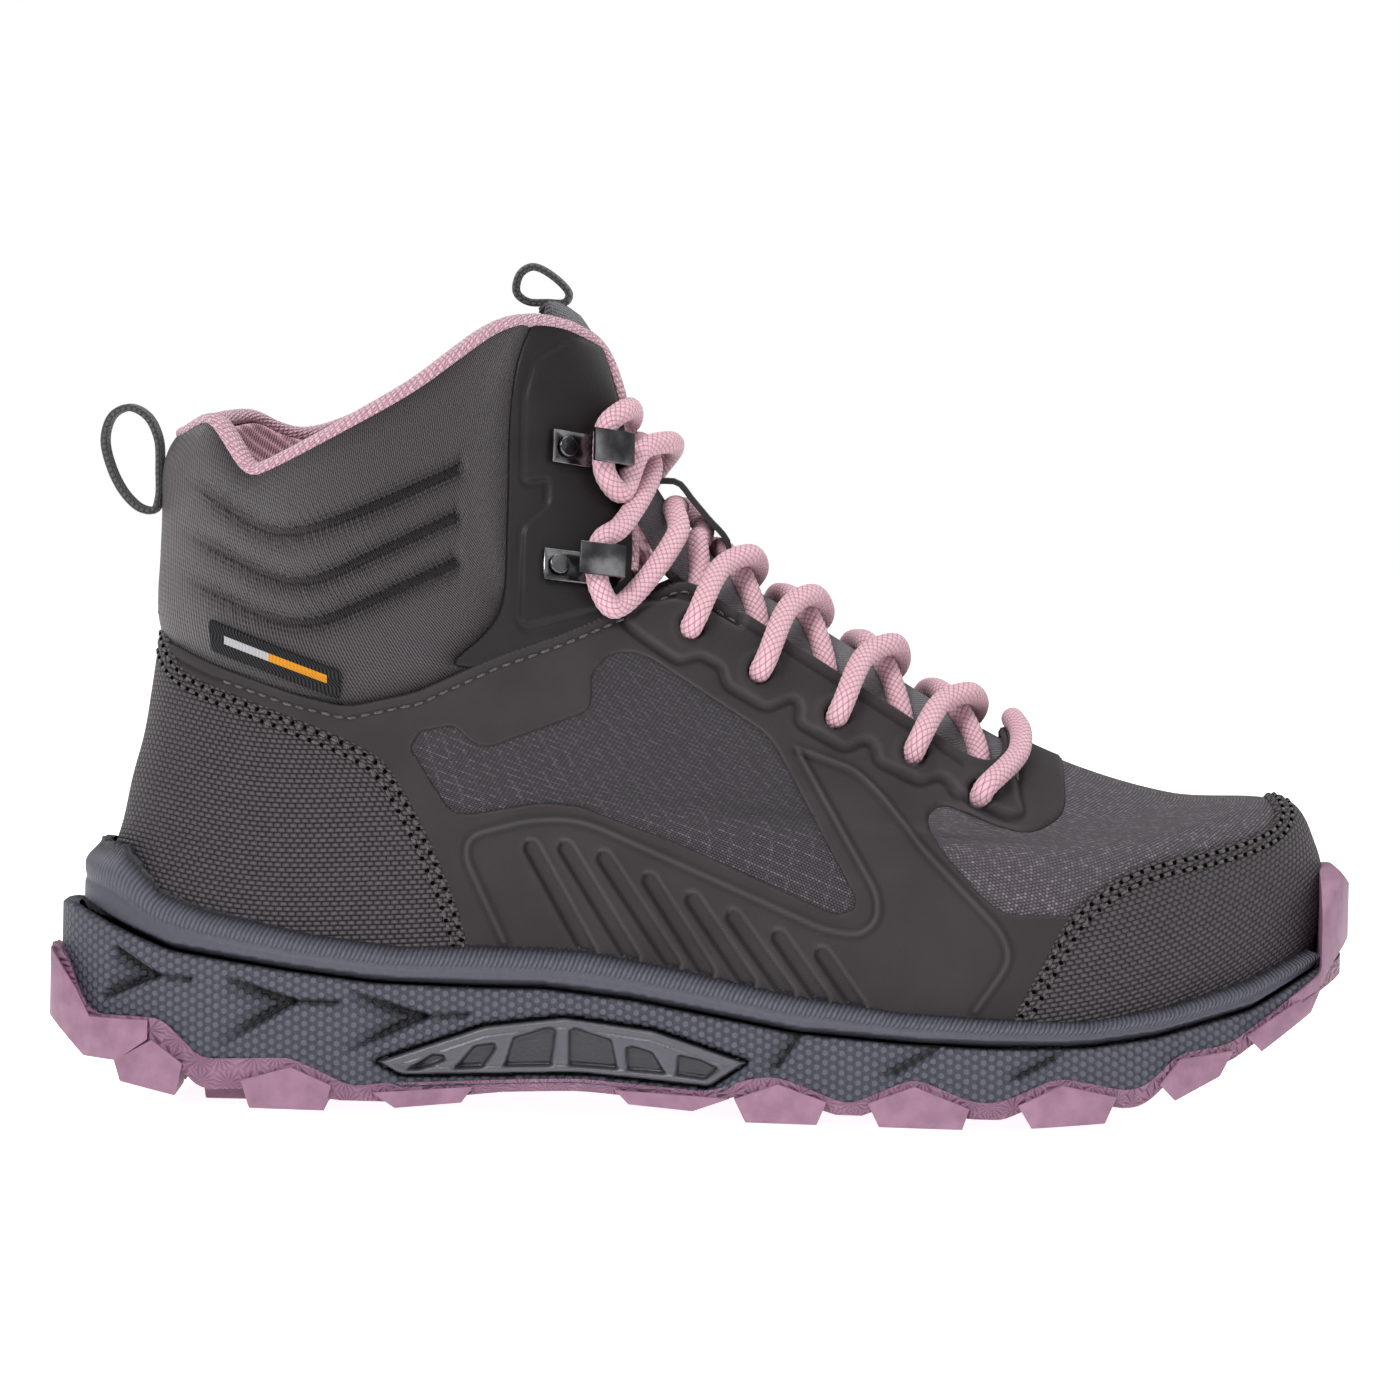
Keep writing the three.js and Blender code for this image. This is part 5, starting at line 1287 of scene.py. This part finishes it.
HEEL_LOOP_PATH = ((-122.4, 132.5), (-123.4, 129.6), (-126.4, 129.8), (-130.3, 133.3), (-133.5, 139.5),
                  (-134.7, 145.5), (-133, 150.5), (-129.3, 152.2), (-125.4, 150.3), (-122.9, 145.5),
                  (-122.4, 138))
TONGUE_LOOP_PATH = ((-41.5, 177.6), (-43.9, 179.6), (-43.2, 183.6), (-40.5, 185.3), (-36.3, 183.6),
                    (-32.2, 179.4), (-33, 177.6), (-37, 177.4))
heel_loop = loop_band("heel_webbing", HEEL_LOOP_PATH, WEBBING_THICK, HEEL_LOOP_WIDTH)
finish_piece(heel_loop, webbing, "webbing", "heel_loop", body="heel_loop")
tongue_loop = loop_band("tongue_webbing", TONGUE_LOOP_PATH, WEBBING_THICK, TONGUE_LOOP_WIDTH)
finish_piece(tongue_loop, webbing, "webbing", "tongue_loop", body="tongue_loop")
strap_cut = np.minimum(STRAP_HALF - np.abs(Y), Z - STRAP_FOOT)
strap_cut = np.minimum(strap_cut, np.where(X < -90, STRAP_TOP - Z, OUTSIDE))


def strap_face(d, x, y, z):
    return lip(d, 0.3, 1.3, 0.7)


strap = cut_panel("strap_webbing", skin, strap_cut, strap_face, **INNER_SHEET)
finish_piece(strap, webbing, "webbing", "back_strap")
carry(webbing, "lace_keeper")

# ---------------------------------------------------------------- rand
# A moulded rubber foxing cemented round the joint. Fine slanted ribs cover its upper half, where it
# leans in to the upper, and a deep groove parts it from the midsole below.
GROOVE = ((-142, 43.5), (-128, 37.5), (-117, 33.5), (-90, 30), (-71, 28), (-48, 27.5), (-34, 27.5),
          (-15, 25.5), (3, 22.5), (21, 19.5), (44, 18), (63, 17.5), (85, 18), (100, 20), (122, 25.5),
          (137, 33.5), (146, 39))
RAND_TOP = ((-142, 57), (-129.5, 55.5), (-120.5, 46.5), (-110, 43), (-85, 38.5), (-66, 36.5), (-48, 37),
            (-26, 36.5), (-5, 33), (17.5, 28.5), (44, 25), (66, 24.2), (85, 24), (104, 27), (122, 32),
            (137, 38), (146, 42))
WAVE = ((-146, 33.5), (-140, 31.5), (-137, 24), (-134, 19), (-118, 19), (-109, 10.5), (-89, 11.5),
        (-75.5, 5.5), (-70, 6.5), (-40, 8), (-26, 8.5), (2.5, 6.5), (10.5, 9.5), (17, 10.5), (33, 4.7),
        (45.5, 10.5), (48.5, 10.5), (60, 6), (66, 6.3), (77, 11.5), (81, 11.5), (93, 9), (97.5, 10),
        (105, 17), (116, 18.5), (128.5, 27), (137, 33), (146, 38))
TOE_BUMPER = ((124, 21.5), (136.5, 29), (140, 35), (146, 42), (146, 50), (141, 56), (137.3, 55.5),
              (137.3, 33), (128.5, 26.4))
RAND_OUT = 3.2  # how far the rand stands out from the last
RAND_FLARE = 1.5  # its extra length behind the heel
SOLE_LINE = 0.06  # the place up the last where the sole's plan is taken
WALL_COLUMNS = 1300
sole_turns = even_turns(SOLE_LINE, WALL_COLUMNS)


def plan_outline(out, flare, turns):
    """The sole's outline from above, standing out from the last, with its direction out, in mm."""
    base = last_points(turns, SOLE_LINE)
    sideways = last_points(turns + 0.002, SOLE_LINE) - last_points(turns - 0.002, SOLE_LINE)
    away = np.cross(sideways, last_points(turns, 0.07) - last_points(turns, 0.05))
    away[:, 2] = 0
    away /= np.linalg.norm(away, axis=1)[:, None]
    reach = out + flare * np.maximum(0, -np.cos(2 * math.pi * turns)) ** 6
    return base + away * reach[:, None], away


def wall_skin(out, flare, low, high, step=0.5):
    """The sole's upright wall between two heights, as a skin to cut panels from."""
    edge, away = plan_outline(out, flare, sole_turns)
    heights = np.arange(low, high + step, step)
    points = np.broadcast_to(edge, (len(heights), *edge.shape)).copy()
    points[..., 2] = heights[:, None]
    return skin_of(points, np.broadcast_to(away, points.shape).copy())


def level(line, x):
    """The height of a side-view line at x."""
    return np.interp(x, [p[0] for p in line], [p[1] for p in line])


rand_rubber = new_material("rand_rubber", (0.075, 0.076, 0.098), 0.5, Specular_IOR_Level=0.35)
rib_u, share = split_uv(rand_rubber, 0.00108, 0.01)
slanted = ripple(rand_rubber, maths(rand_rubber, "MULTIPLY_ADD", share, -3.2, rib_u))
upper_half = node(rand_rubber, "MapRange", share, 0.42, 0.52).outputs[0]
not_lip = maths(rand_rubber, "SUBTRACT", 1.0, node(rand_rubber, "MapRange", share, 0.9, 0.96).outputs[0])
ribs = maths(rand_rubber, "MULTIPLY", slanted, maths(rand_rubber, "MULTIPLY", upper_half, not_lip))
grain = speckle(rand_rubber, 900, 3.0)
shade = maths(rand_rubber, "MULTIPLY_ADD", ribs, 0.45, maths(rand_rubber, "MULTIPLY", grain, 0.5))
# Painted shade: the rubber is darkened down into the groove and towards its top, where it leans in to the
# upper.
wire(
    rand_rubber,
    colour=sunk(rand_rubber, tint(rand_rubber, shade, (0.050, 0.050, 0.068), (0.110, 0.110, 0.140)),
                -2.6, -0.9, 0.3),
    height=maths(rand_rubber, "MULTIPLY_ADD", grain, 0.25, ribs),
    depth=0.0004,
)
rand_skin = wall_skin(RAND_OUT, RAND_FLARE, 15, 60)
rX, rZ = rand_skin["p"][..., 0], rand_skin["p"][..., 2]
ragged = 0.35 * np.sin(rX * 3.1) * np.sin(rX * 1.27 + 1)
rand_low, rand_high = level(GROOVE, rX), level(RAND_TOP, rX) + ragged
in_rand = np.minimum(rZ - rand_low - 0.3, rand_high - rZ)
in_rand = np.minimum(in_rand, -inside(TOE_BUMPER, rX, rZ) - 0.2)
rand_skin["v"] = np.clip((rZ - rand_low) / (rand_high - rand_low), 0, 1) * 10


def rand_profile(d, x, y, z):
    """Rounded in at the groove, creased at half its height and leaning in to the upper above that."""
    low, high = level(GROOVE, x), level(RAND_TOP, x)
    share = np.clip((z - low) / (high - low), 0, 1)
    rise = 0.3 - 2.4 * np.sqrt(np.clip(1 - (z - low) / 1.6, 0, 1)) * (z - low < 1.6)
    rise = rise - 0.35 * ring_at(share, 0.44, 0.06)
    return rise - 3.6 * smooth((share - 0.6) / 0.4) ** 1.4


rand = cut_panel("rand_moulding", rand_skin, in_rand, rand_profile, rim=2.0)
finish_piece(rand, rand_rubber, "rand_rubber", "midsole_rand")

# ---------------------------------------------------------------- midsole core
# Compression-moulded foam with a skin of small hexagons. Three pressed chevrons mark the heel and
# three slashes the forefoot. Each side of the arch has a shallow pocket for its plate.
CORE_OUT = 4.6
CORE_FLARE = 5.2
CORE_SUNK = 1.2  # how far its lower edge reaches in under the outsole's rim
ARCH_PLATE = ((-71, 11), (-47, 19.5), (-29.5, 21.8), (-10, 19.5), (11, 13), (2.5, 7), (-26, 9.2),
              (-65, 7.8))
CHEVRONS = (((-129, 33.5), (-120, 28), (-131.5, 22.5)), ((-103, 28), (-89, 23.5), (-106.5, 12.5)),
            ((-76, 26), (-60, 21), (-77.5, 12.5)))
TAILS = (((-120, 28), (-112, 27.5)), ((-89, 23.5), (-79, 23.5)), ((-60, 21), (-50.5, 21.5)))
SLASHES = (((22.5, 20), (17.5, 12.5)), ((51, 16.5), (42.5, 11.5)), ((77.5, 15.5), (70, 11.5)))
foam_skin = new_material("midsole_skin", (0.070, 0.072, 0.092), 0.6, Specular_IOR_Level=0.3)
HEXAGON = 0.0021


def hexagons(material, pitch):
    """Flat-topped hexagons with narrow grooves between them, from three crossed waves."""
    total = None
    for turn in (0, 60, 120):
        wave_u, _ = turned_uv(material, turn, pitch * 0.866, 1.0)
        wave = maths(material, "COSINE", maths(material, "MULTIPLY", wave_u, 2 * math.pi))
        total = wave if total is None else maths(material, "ADD", total, wave)
    return node(material, "MapRange", total, -1.3, 0.3).outputs[0]


hexes = hexagons(foam_skin, HEXAGON)
shade = maths(foam_skin, "MULTIPLY", hexes, 0.75)
shade = maths(foam_skin, "MULTIPLY_ADD", speckle(foam_skin, 400), 0.3, shade)
# Painted shade: the skin is darkened in the pressed chevrons, tails and slashes, in the plate's pocket and
# along its top under the groove.
wire(
    foam_skin,
    colour=sunk(foam_skin, tint(foam_skin, shade, (0.030, 0.031, 0.042), (0.085, 0.087, 0.112)),
                -1.5, -0.2, 0.12),
    height=hexes,
    depth=0.00035,
)
core_skin = wall_skin(CORE_OUT, CORE_FLARE, 3, 46)
kX, kZ = core_skin["p"][..., 0], core_skin["p"][..., 2]
sunk_wave = [(x, z - CORE_SUNK) for x, z in WAVE[::-1]]
in_core = inside((*GROOVE, *sunk_wave), kX, kZ, radius=3)


def core_profile(d, x, y, z):
    """The wall's relief: soft on one side of each pressed line and sharp on the other."""
    rise = lip(level(GROOVE, x) - z, -1.6, 0, 1.3)
    for arm_up, apex, arm_down in CHEVRONS:
        held = inside((arm_up, apex, arm_down), x, z, radius=0) > 0
        away = distance_to((arm_up, apex, arm_down), x, z)
        near_apex = smooth(1.25 - np.hypot(x - apex[0], z - apex[1]) / 20)
        soft = np.where(held, 2.2, 0.6)
        rise = rise - 2.4 * near_apex * np.exp(-away / soft)
        rise = rise + np.where(held, 0, 0.45 * near_apex * ring_at(away, 1.5, 0.8))
    for tail in TAILS:
        rise = rise - 1.7 * np.exp(-distance_to(tail, x, z) / 0.65)
    for start, end in SLASHES:
        away = distance_to((start, end), x, z)
        right = (x - end[0]) * (start[1] - end[1]) - (z - end[1]) * (start[0] - end[0]) > 0
        rise = rise - 1.7 * np.exp(-away / np.where(right, 0.55, 2.0))
        rise = rise + np.where(right, 0.5 * ring_at(away, 1.4, 0.8), 0)
    plate = -inside(ARCH_PLATE, x, z, radius=1.2)
    rise = rise - 1.1 * np.exp(-np.clip(plate, 0, None) / 0.7)
    rise = rise + 0.5 * ring_at(plate, 2.0, 0.7)
    return np.where(plate < 0.2, -2.2, rise)


core = cut_panel("midsole_moulding", core_skin, in_core, core_profile, rim=3.5)
finish_piece(core, foam_skin, "midsole_foam", "midsole_core")

# ---------------------------------------------------------------- arch plates
# A glossier plate of hard moulded plastic with six windows is cemented into the pocket in each side of
# the arch and keeps the sole from twisting there.
PLATE_OUT = 5.2
ARCH_WINDOWS = (((-64, 9.2), (-61, 9.2), (-55, 11.5), (-55.5, 12.8), (-58, 13)),
                ((-53.5, 9.6), (-47, 10), (-44, 14.5), (-44.5, 15.7), (-49, 15)),
                ((-42.5, 10.4), (-32, 10.8), (-31, 18.8), (-33, 19.3), (-40.5, 17)),
                ((-28.2, 10.8), (-17.5, 10.4), (-19, 17), (-27, 19.3), (-28.5, 18.8)),
                ((-15.5, 10.2), (-7, 9.8), (-10, 14.5), (-14.5, 15.8), (-16, 15.3)),
                ((-5, 9.6), (1.5, 8.8), (4.5, 11.5), (0.5, 13.3), (-4.5, 14.2)))
plate_finish = new_material("arch_plate", (0.062, 0.061, 0.076), 0.36, Specular_IOR_Level=0.5)
moulded = tint(plate_finish, speckle(plate_finish, 300), (0.060, 0.059, 0.074), (0.078, 0.077, 0.094))
# Painted shade: the plastic is darkened in the six sunk windows, along the fine line and at its rounded edge.
wire(
    plate_finish,
    colour=sunk(plate_finish, moulded, -1.3, 0.1, 0.35),
    height=speckle(plate_finish, 1500),
    depth=0.00008,
)
plate_skin = wall_skin(PLATE_OUT, CORE_FLARE, 4, 26, step=0.3)
pX, pZ = plate_skin["p"][..., 0], plate_skin["p"][..., 2]
in_plate = inside(ARCH_PLATE, pX, pZ, radius=1.2) - 0.3


def plate_profile(d, x, y, z):
    """A rounded edge, a fine line along it and the six sunk windows."""
    rise = lip(d, -1.4, 0.3, 1.0)
    for window in ARCH_WINDOWS:
        rise = rise - 1.9 * smooth(inside(window, x, z, radius=0.6) / 0.8 + 0.35)
    return rise - 0.35 * ring_at(d, 1.9, 0.35)


for side, across in (("lateral", -1), ("medial", 1)):
    plate_cut = np.where(plate_skin["p"][..., 1] * across > 0, in_plate, OUTSIDE)
    plate = cut_panel("arch_moulding_" + side, plate_skin, plate_cut, plate_profile, rim=2.0)
    finish_piece(plate, plate_finish, "arch_plate", "arch_plate_" + side)

# ---------------------------------------------------------------- outsole
# One moulding of mauve rubber: a thin rim that follows the midsole's wave, a bumper over the toe and
# deep lugs. It is built from side views cut through the plan outline, with every edge eased.
RIM_DEPTH = 3.0
RIM_GAP = 0.3  # between the rim and the midsole's wave
SOLE_REACH = 4.9  # how far the rim stands out from the last
LUG_REACH = 6.5  # how far the lugs and the bumper stand out
LUG_DEPTH = 16  # how far the side lugs reach in from the last's line
BUMPER_DEPTH = 8
SOLE_FLARE = 7.2  # extra length behind the heel
EDGE_EASE = 0.4
SIDE_LUGS = (
    ((-120, 14), (-128.5, 9), (-127, 4.5), (-114.5, 2), (-113, 9)),
    ((-89, 9.2), (-100, 6), (-98, 0), (-81.5, 0), (-80, 5.5)),
    ((-71, 4.2), (-66, 1), (-51.5, 2.5), (-49, 6)),
    ((-18, 6), (-15, 3), (-1, 2), (7, 5)),
    ((17.5, 8.5), (8, 5), (10.5, 0), (26, 0), (28, 5)),
    ((47, 9), (37, 5), (39.5, 0), (57.5, 0), (59, 4.5)),
    ((79, 10), (69.5, 5.5), (72.5, 0.6), (88.5, 1.8), (91, 7.5)),
    ((105, 15.5), (100.5, 10), (104, 6.5), (114, 11.5), (117, 17)),
)
HEEL_LUG = ((-144, 32.5), (-144, 17.5), (-135.5, 9.5), (-128, 9), (-121, 14), (-121, 18.2), (-134.3, 18.2),
            (-137.5, 24))
TOE_LUG = ((120, 20), (123.5, 16.5), (135, 24.5), (137.5, 30), (129, 25.5))
CENTRE_LUGS = ((-104, 0), (-86, 0), (14, 0), (31, 0), (48, 0), (65, 0.3), (82, 0.9))
CENTRE_LUG_HALF = 17
BUMPER_FRONT = ((-24, 15), (-24, 30), (-19, 44), (-12, 52), (-3, 56), (13, 56), (22, 52), (29, 44),
                (34, 30), (34, 15))  # the bumper seen from in front, (y, z)


def prism(name, corners):
    """A block between two outlines with as many points, given one after the other, in mm."""
    count = len(corners) // 2
    faces = [list(range(count)), list(range(count, 2 * count))[::-1]]
    faces += [[i, i + count, (i + 1) % count + count, (i + 1) % count] for i in range(count)]
    piece = new_piece(name, (np.array(corners) * MM + np.array(LAST_ORIGIN)).tolist(), faces)
    turn_outwards(piece)
    return piece


def from_side(name, outline, half=70):
    """A side view (x, z) pushed across the boot, past both its sides unless half is less."""
    return prism(name, [(x, y, z) for y in (-half, half) for x, z in outline])


def from_above(name, outline, low=-20, high=90):
    """A plan (x, y) pushed up through the whole sole."""
    return prism(name, [(x, y, z) for z in (low, high) for x, y in outline])


def from_front(name, outline, back=100, front=160):
    """A front view (y, z) pushed along the toe."""
    return prism(name, [(x, y, z) for x in (back, front) for y, z in outline])


def cut_with(piece, tool, operation, keep_tool=False):
    select_only(piece)
    boolean = piece.modifiers.new("cut", "BOOLEAN")
    boolean.operation = operation
    boolean.solver = "EXACT"
    boolean.object = tool
    bpy.ops.object.modifier_apply(modifier=boolean.name)
    if not keep_tool:
        bpy.data.objects.remove(tool)
    return piece


def eased(piece, width):
    """The piece with its sharp edges rounded off by width (mm)."""
    select_only(piece)
    bevel = piece.modifiers.new("ease", "BEVEL")
    bevel.width = width * MM
    bevel.segments = 2
    bevel.limit_method = "ANGLE"
    bevel.angle_limit = math.radians(28)
    bevel.harden_normals = False
    bpy.ops.object.modifier_apply(modifier=bevel.name)
    bpy.ops.object.shade_smooth_by_angle(angle=math.radians(28))
    return piece


def sole_plan(out, flare, turns):
    return plan_outline(out, flare, turns)[0][:, :2]


plan_turns = even_turns(SOLE_LINE, 260)
rim_plan = sole_plan(SOLE_REACH, SOLE_FLARE, plan_turns)
lug_plan = sole_plan(LUG_REACH, SOLE_FLARE, plan_turns)
lug_ends = sole_plan(-LUG_DEPTH, 0, plan_turns[::3])
bumper_back = sole_plan(-BUMPER_DEPTH, 0, plan_turns[::2])
wave_top = rounded(WAVE, 3, closed=False)
rim_depth = [RIM_DEPTH + 4 * smooth((-62 - x) / 10) * smooth((x + 136) / 10) + 1.3 * smooth((x - 5) / 10)
             for x, z in wave_top]
rim_side = [(x, z - RIM_GAP) for x, z in wave_top]
rim_side += [(x, max(z - deep, 2.2)) for (x, z), deep in zip(wave_top[::-1], rim_depth[::-1])]
rim = cut_with(from_side("rim", rim_side), from_above("plan", rim_plan), "INTERSECT")
rim = eased(rim, 0.3)
strip = cut_with(from_above("strip", lug_plan), from_above("inner", lug_ends, -30, 100), "DIFFERENCE")
sole_parts = [rim]
for outline in SIDE_LUGS:
    lug = cut_with(from_side("lug", outline), strip, "INTERSECT", keep_tool=True)
    sole_parts.append(eased(lug, EDGE_EASE))
bpy.data.objects.remove(strip)
for outline in (HEEL_LUG, TOE_LUG):
    lug = cut_with(from_side("lug", outline), from_above("plan", lug_plan), "INTERSECT")
    sole_parts.append(eased(lug, EDGE_EASE))
for x, z in CENTRE_LUGS:
    block = ((x - 4.75, z), (x + 4.75, z), (x + 5.75, z + 8), (x - 5.75, z + 8))
    sole_parts.append(eased(from_side("lug", block, CENTRE_LUG_HALF), EDGE_EASE))
bumper = from_side("bumper", rounded(TOE_BUMPER, 1.5))
bumper = cut_with(bumper, from_above("plan", lug_plan), "INTERSECT")
bumper = cut_with(bumper, from_above("hollow", bumper_back, -30, 100), "DIFFERENCE")
bumper = cut_with(bumper, from_front("front", rounded(BUMPER_FRONT, 4)), "INTERSECT")
sole_parts.append(eased(bumper, 0.7))

# The rim's rubber is pressed with small eight-rayed stars, and the lugs are plain.
STARS_PER_METRE = 210.0
mauve = new_material("mauve_rubber", (0.25, 0.125, 0.19), 0.6)
place = node(mauve, "TexCoord").outputs["Object"]
parts = node(mauve, "SeparateXYZ", place).outputs
round_boot = maths(mauve, "ADD", parts[0], maths(mauve, "MULTIPLY", parts[1], 0.6))
flat = node(mauve, "CombineXYZ", round_boot, parts[2]).outputs[0]
flat = node(mauve, "VectorMath", flat, (STARS_PER_METRE,) * 3, operation="MULTIPLY").outputs[0]
stars = node(mauve, "TexVoronoi", flat, voronoi_dimensions="2D")
stars.inputs["Scale"].default_value = 1.0
stars.inputs["Randomness"].default_value = 0.45
ray = node(mauve, "VectorMath", flat, stars.outputs["Position"], operation="SUBTRACT").outputs[0]
ray = node(mauve, "SeparateXYZ", ray).outputs
petals = maths(mauve, "COSINE", maths(mauve, "MULTIPLY", maths(mauve, "ARCTAN2", ray[1], ray[0]), 8.0))
from_heart = maths(mauve, "MINIMUM", maths(mauve, "MULTIPLY", stars.outputs["Distance"], 2.5), 1.0)
petals = maths(mauve, "MULTIPLY", petals, from_heart)
wire(
    mauve,
    colour=tint(mauve, speckle(mauve, 120), (0.215, 0.105, 0.165), (0.275, 0.145, 0.215), 0.3, 0.7),
    roughness=maths(mauve, "MULTIPLY_ADD", speckle(mauve, 500), 0.2, 0.5),
    height=maths(mauve, "MULTIPLY_ADD", speckle(mauve, 700), 0.3, petals),
    depth=0.00035,
)
plain_mauve = new_material("mauve_lugs", (0.25, 0.125, 0.19), 0.55)
worn = speckle(plain_mauve, 220, 4.0)
wire(
    plain_mauve,
    colour=tint(plain_mauve, worn, (0.205, 0.102, 0.158), (0.285, 0.150, 0.222), 0.3, 0.7),
    height=speckle(plain_mauve, 900, 3.0),
    depth=0.00012,
)
for part in sole_parts:
    part.data.materials.clear()
    part.data.materials.append(mauve if part is rim else plain_mauve)
outsole = join(sole_parts, "outsole_moulding")
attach(outsole, "root")
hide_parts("outsole")

# ---------------------------------------------------------------- inside boards and footbed
# Under the foot lie the removable footbed, faced with dark fleece, the fibreboard that the upper is
# lasted to, and in the arch a stiff nylon shank. All three are carried over and only get a finish.
for name, node_name, colour, rough, sheen, dark, light, blotches, grains, depth in (
    ("footbed_fabric", "footbed", (0.12, 0.11, 0.12), 0.95, 0.3, (0.07, 0.065, 0.07), (0.17, 0.155, 0.165),
     800, 1400, 0.0003),
    ("fibreboard", "lasting_board", (0.4, 0.33, 0.25), 0.9, 0, (0.3, 0.24, 0.17), (0.48, 0.4, 0.3),
     350, 900, 0.0002),
    ("shank_nylon", "shank", (0.03, 0.03, 0.032), 0.4, 0, (0.022, 0.022, 0.024), (0.04, 0.04, 0.043),
     250, 700, 0.00008),
):
    finish = new_material(name, colour, rough, Sheen_Weight=sheen)
    shade = tint(finish, speckle(finish, blotches), dark, light)
    wire(finish, colour=shade, height=speckle(finish, grains), depth=depth)
    carry(finish, node_name)

# ---------------------------------------------------------------- lace hooks
# Four stamped steel hooks with a black nickel finish, each held by one rivet. The carried hooks get
# eased edges, which catch the light as thin bright rims.
HOOK_EASE = 0.32
RIVET_EASE = 0.2
nickel = new_material("black_nickel", (0.055, 0.054, 0.058), 0.2, Metallic=1.0)
wear = speckle(nickel, 300, 4.0)
wire(
    nickel,
    colour=tint(nickel, wear, (0.10, 0.098, 0.104), (0.22, 0.215, 0.225), 0.35, 0.75),
    roughness=maths(nickel, "MULTIPLY_ADD", wear, 0.2, 0.12),
    height=wear,
    depth=0.00004,
)


def merged_copy(name):
    """A copy of a carried node, with its loose triangles merged into whole faces."""
    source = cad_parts[name]
    copy = source.copy()
    copy.data = source.data.copy()
    copy.parent = None
    copy.name = name + "_eased"
    scene.collection.objects.link(copy)
    select_only(copy)
    bpy.ops.object.mode_set(mode="EDIT")
    bpy.ops.mesh.select_all(action="SELECT")
    bpy.ops.mesh.remove_doubles(threshold=0.00001)
    bpy.ops.mesh.dissolve_limited(angle_limit=math.radians(2))
    bpy.ops.object.mode_set(mode="OBJECT")
    return copy


for row_name in ("upper", "lower"):
    for side in ("lateral", "medial"):
        for kind, ease in (("lace_hook_", HOOK_EASE), ("hook_rivet_", RIVET_EASE)):
            name = kind + row_name + "_" + side
            finish_piece(eased(merged_copy(name), ease), nickel, "hook_metal", name)
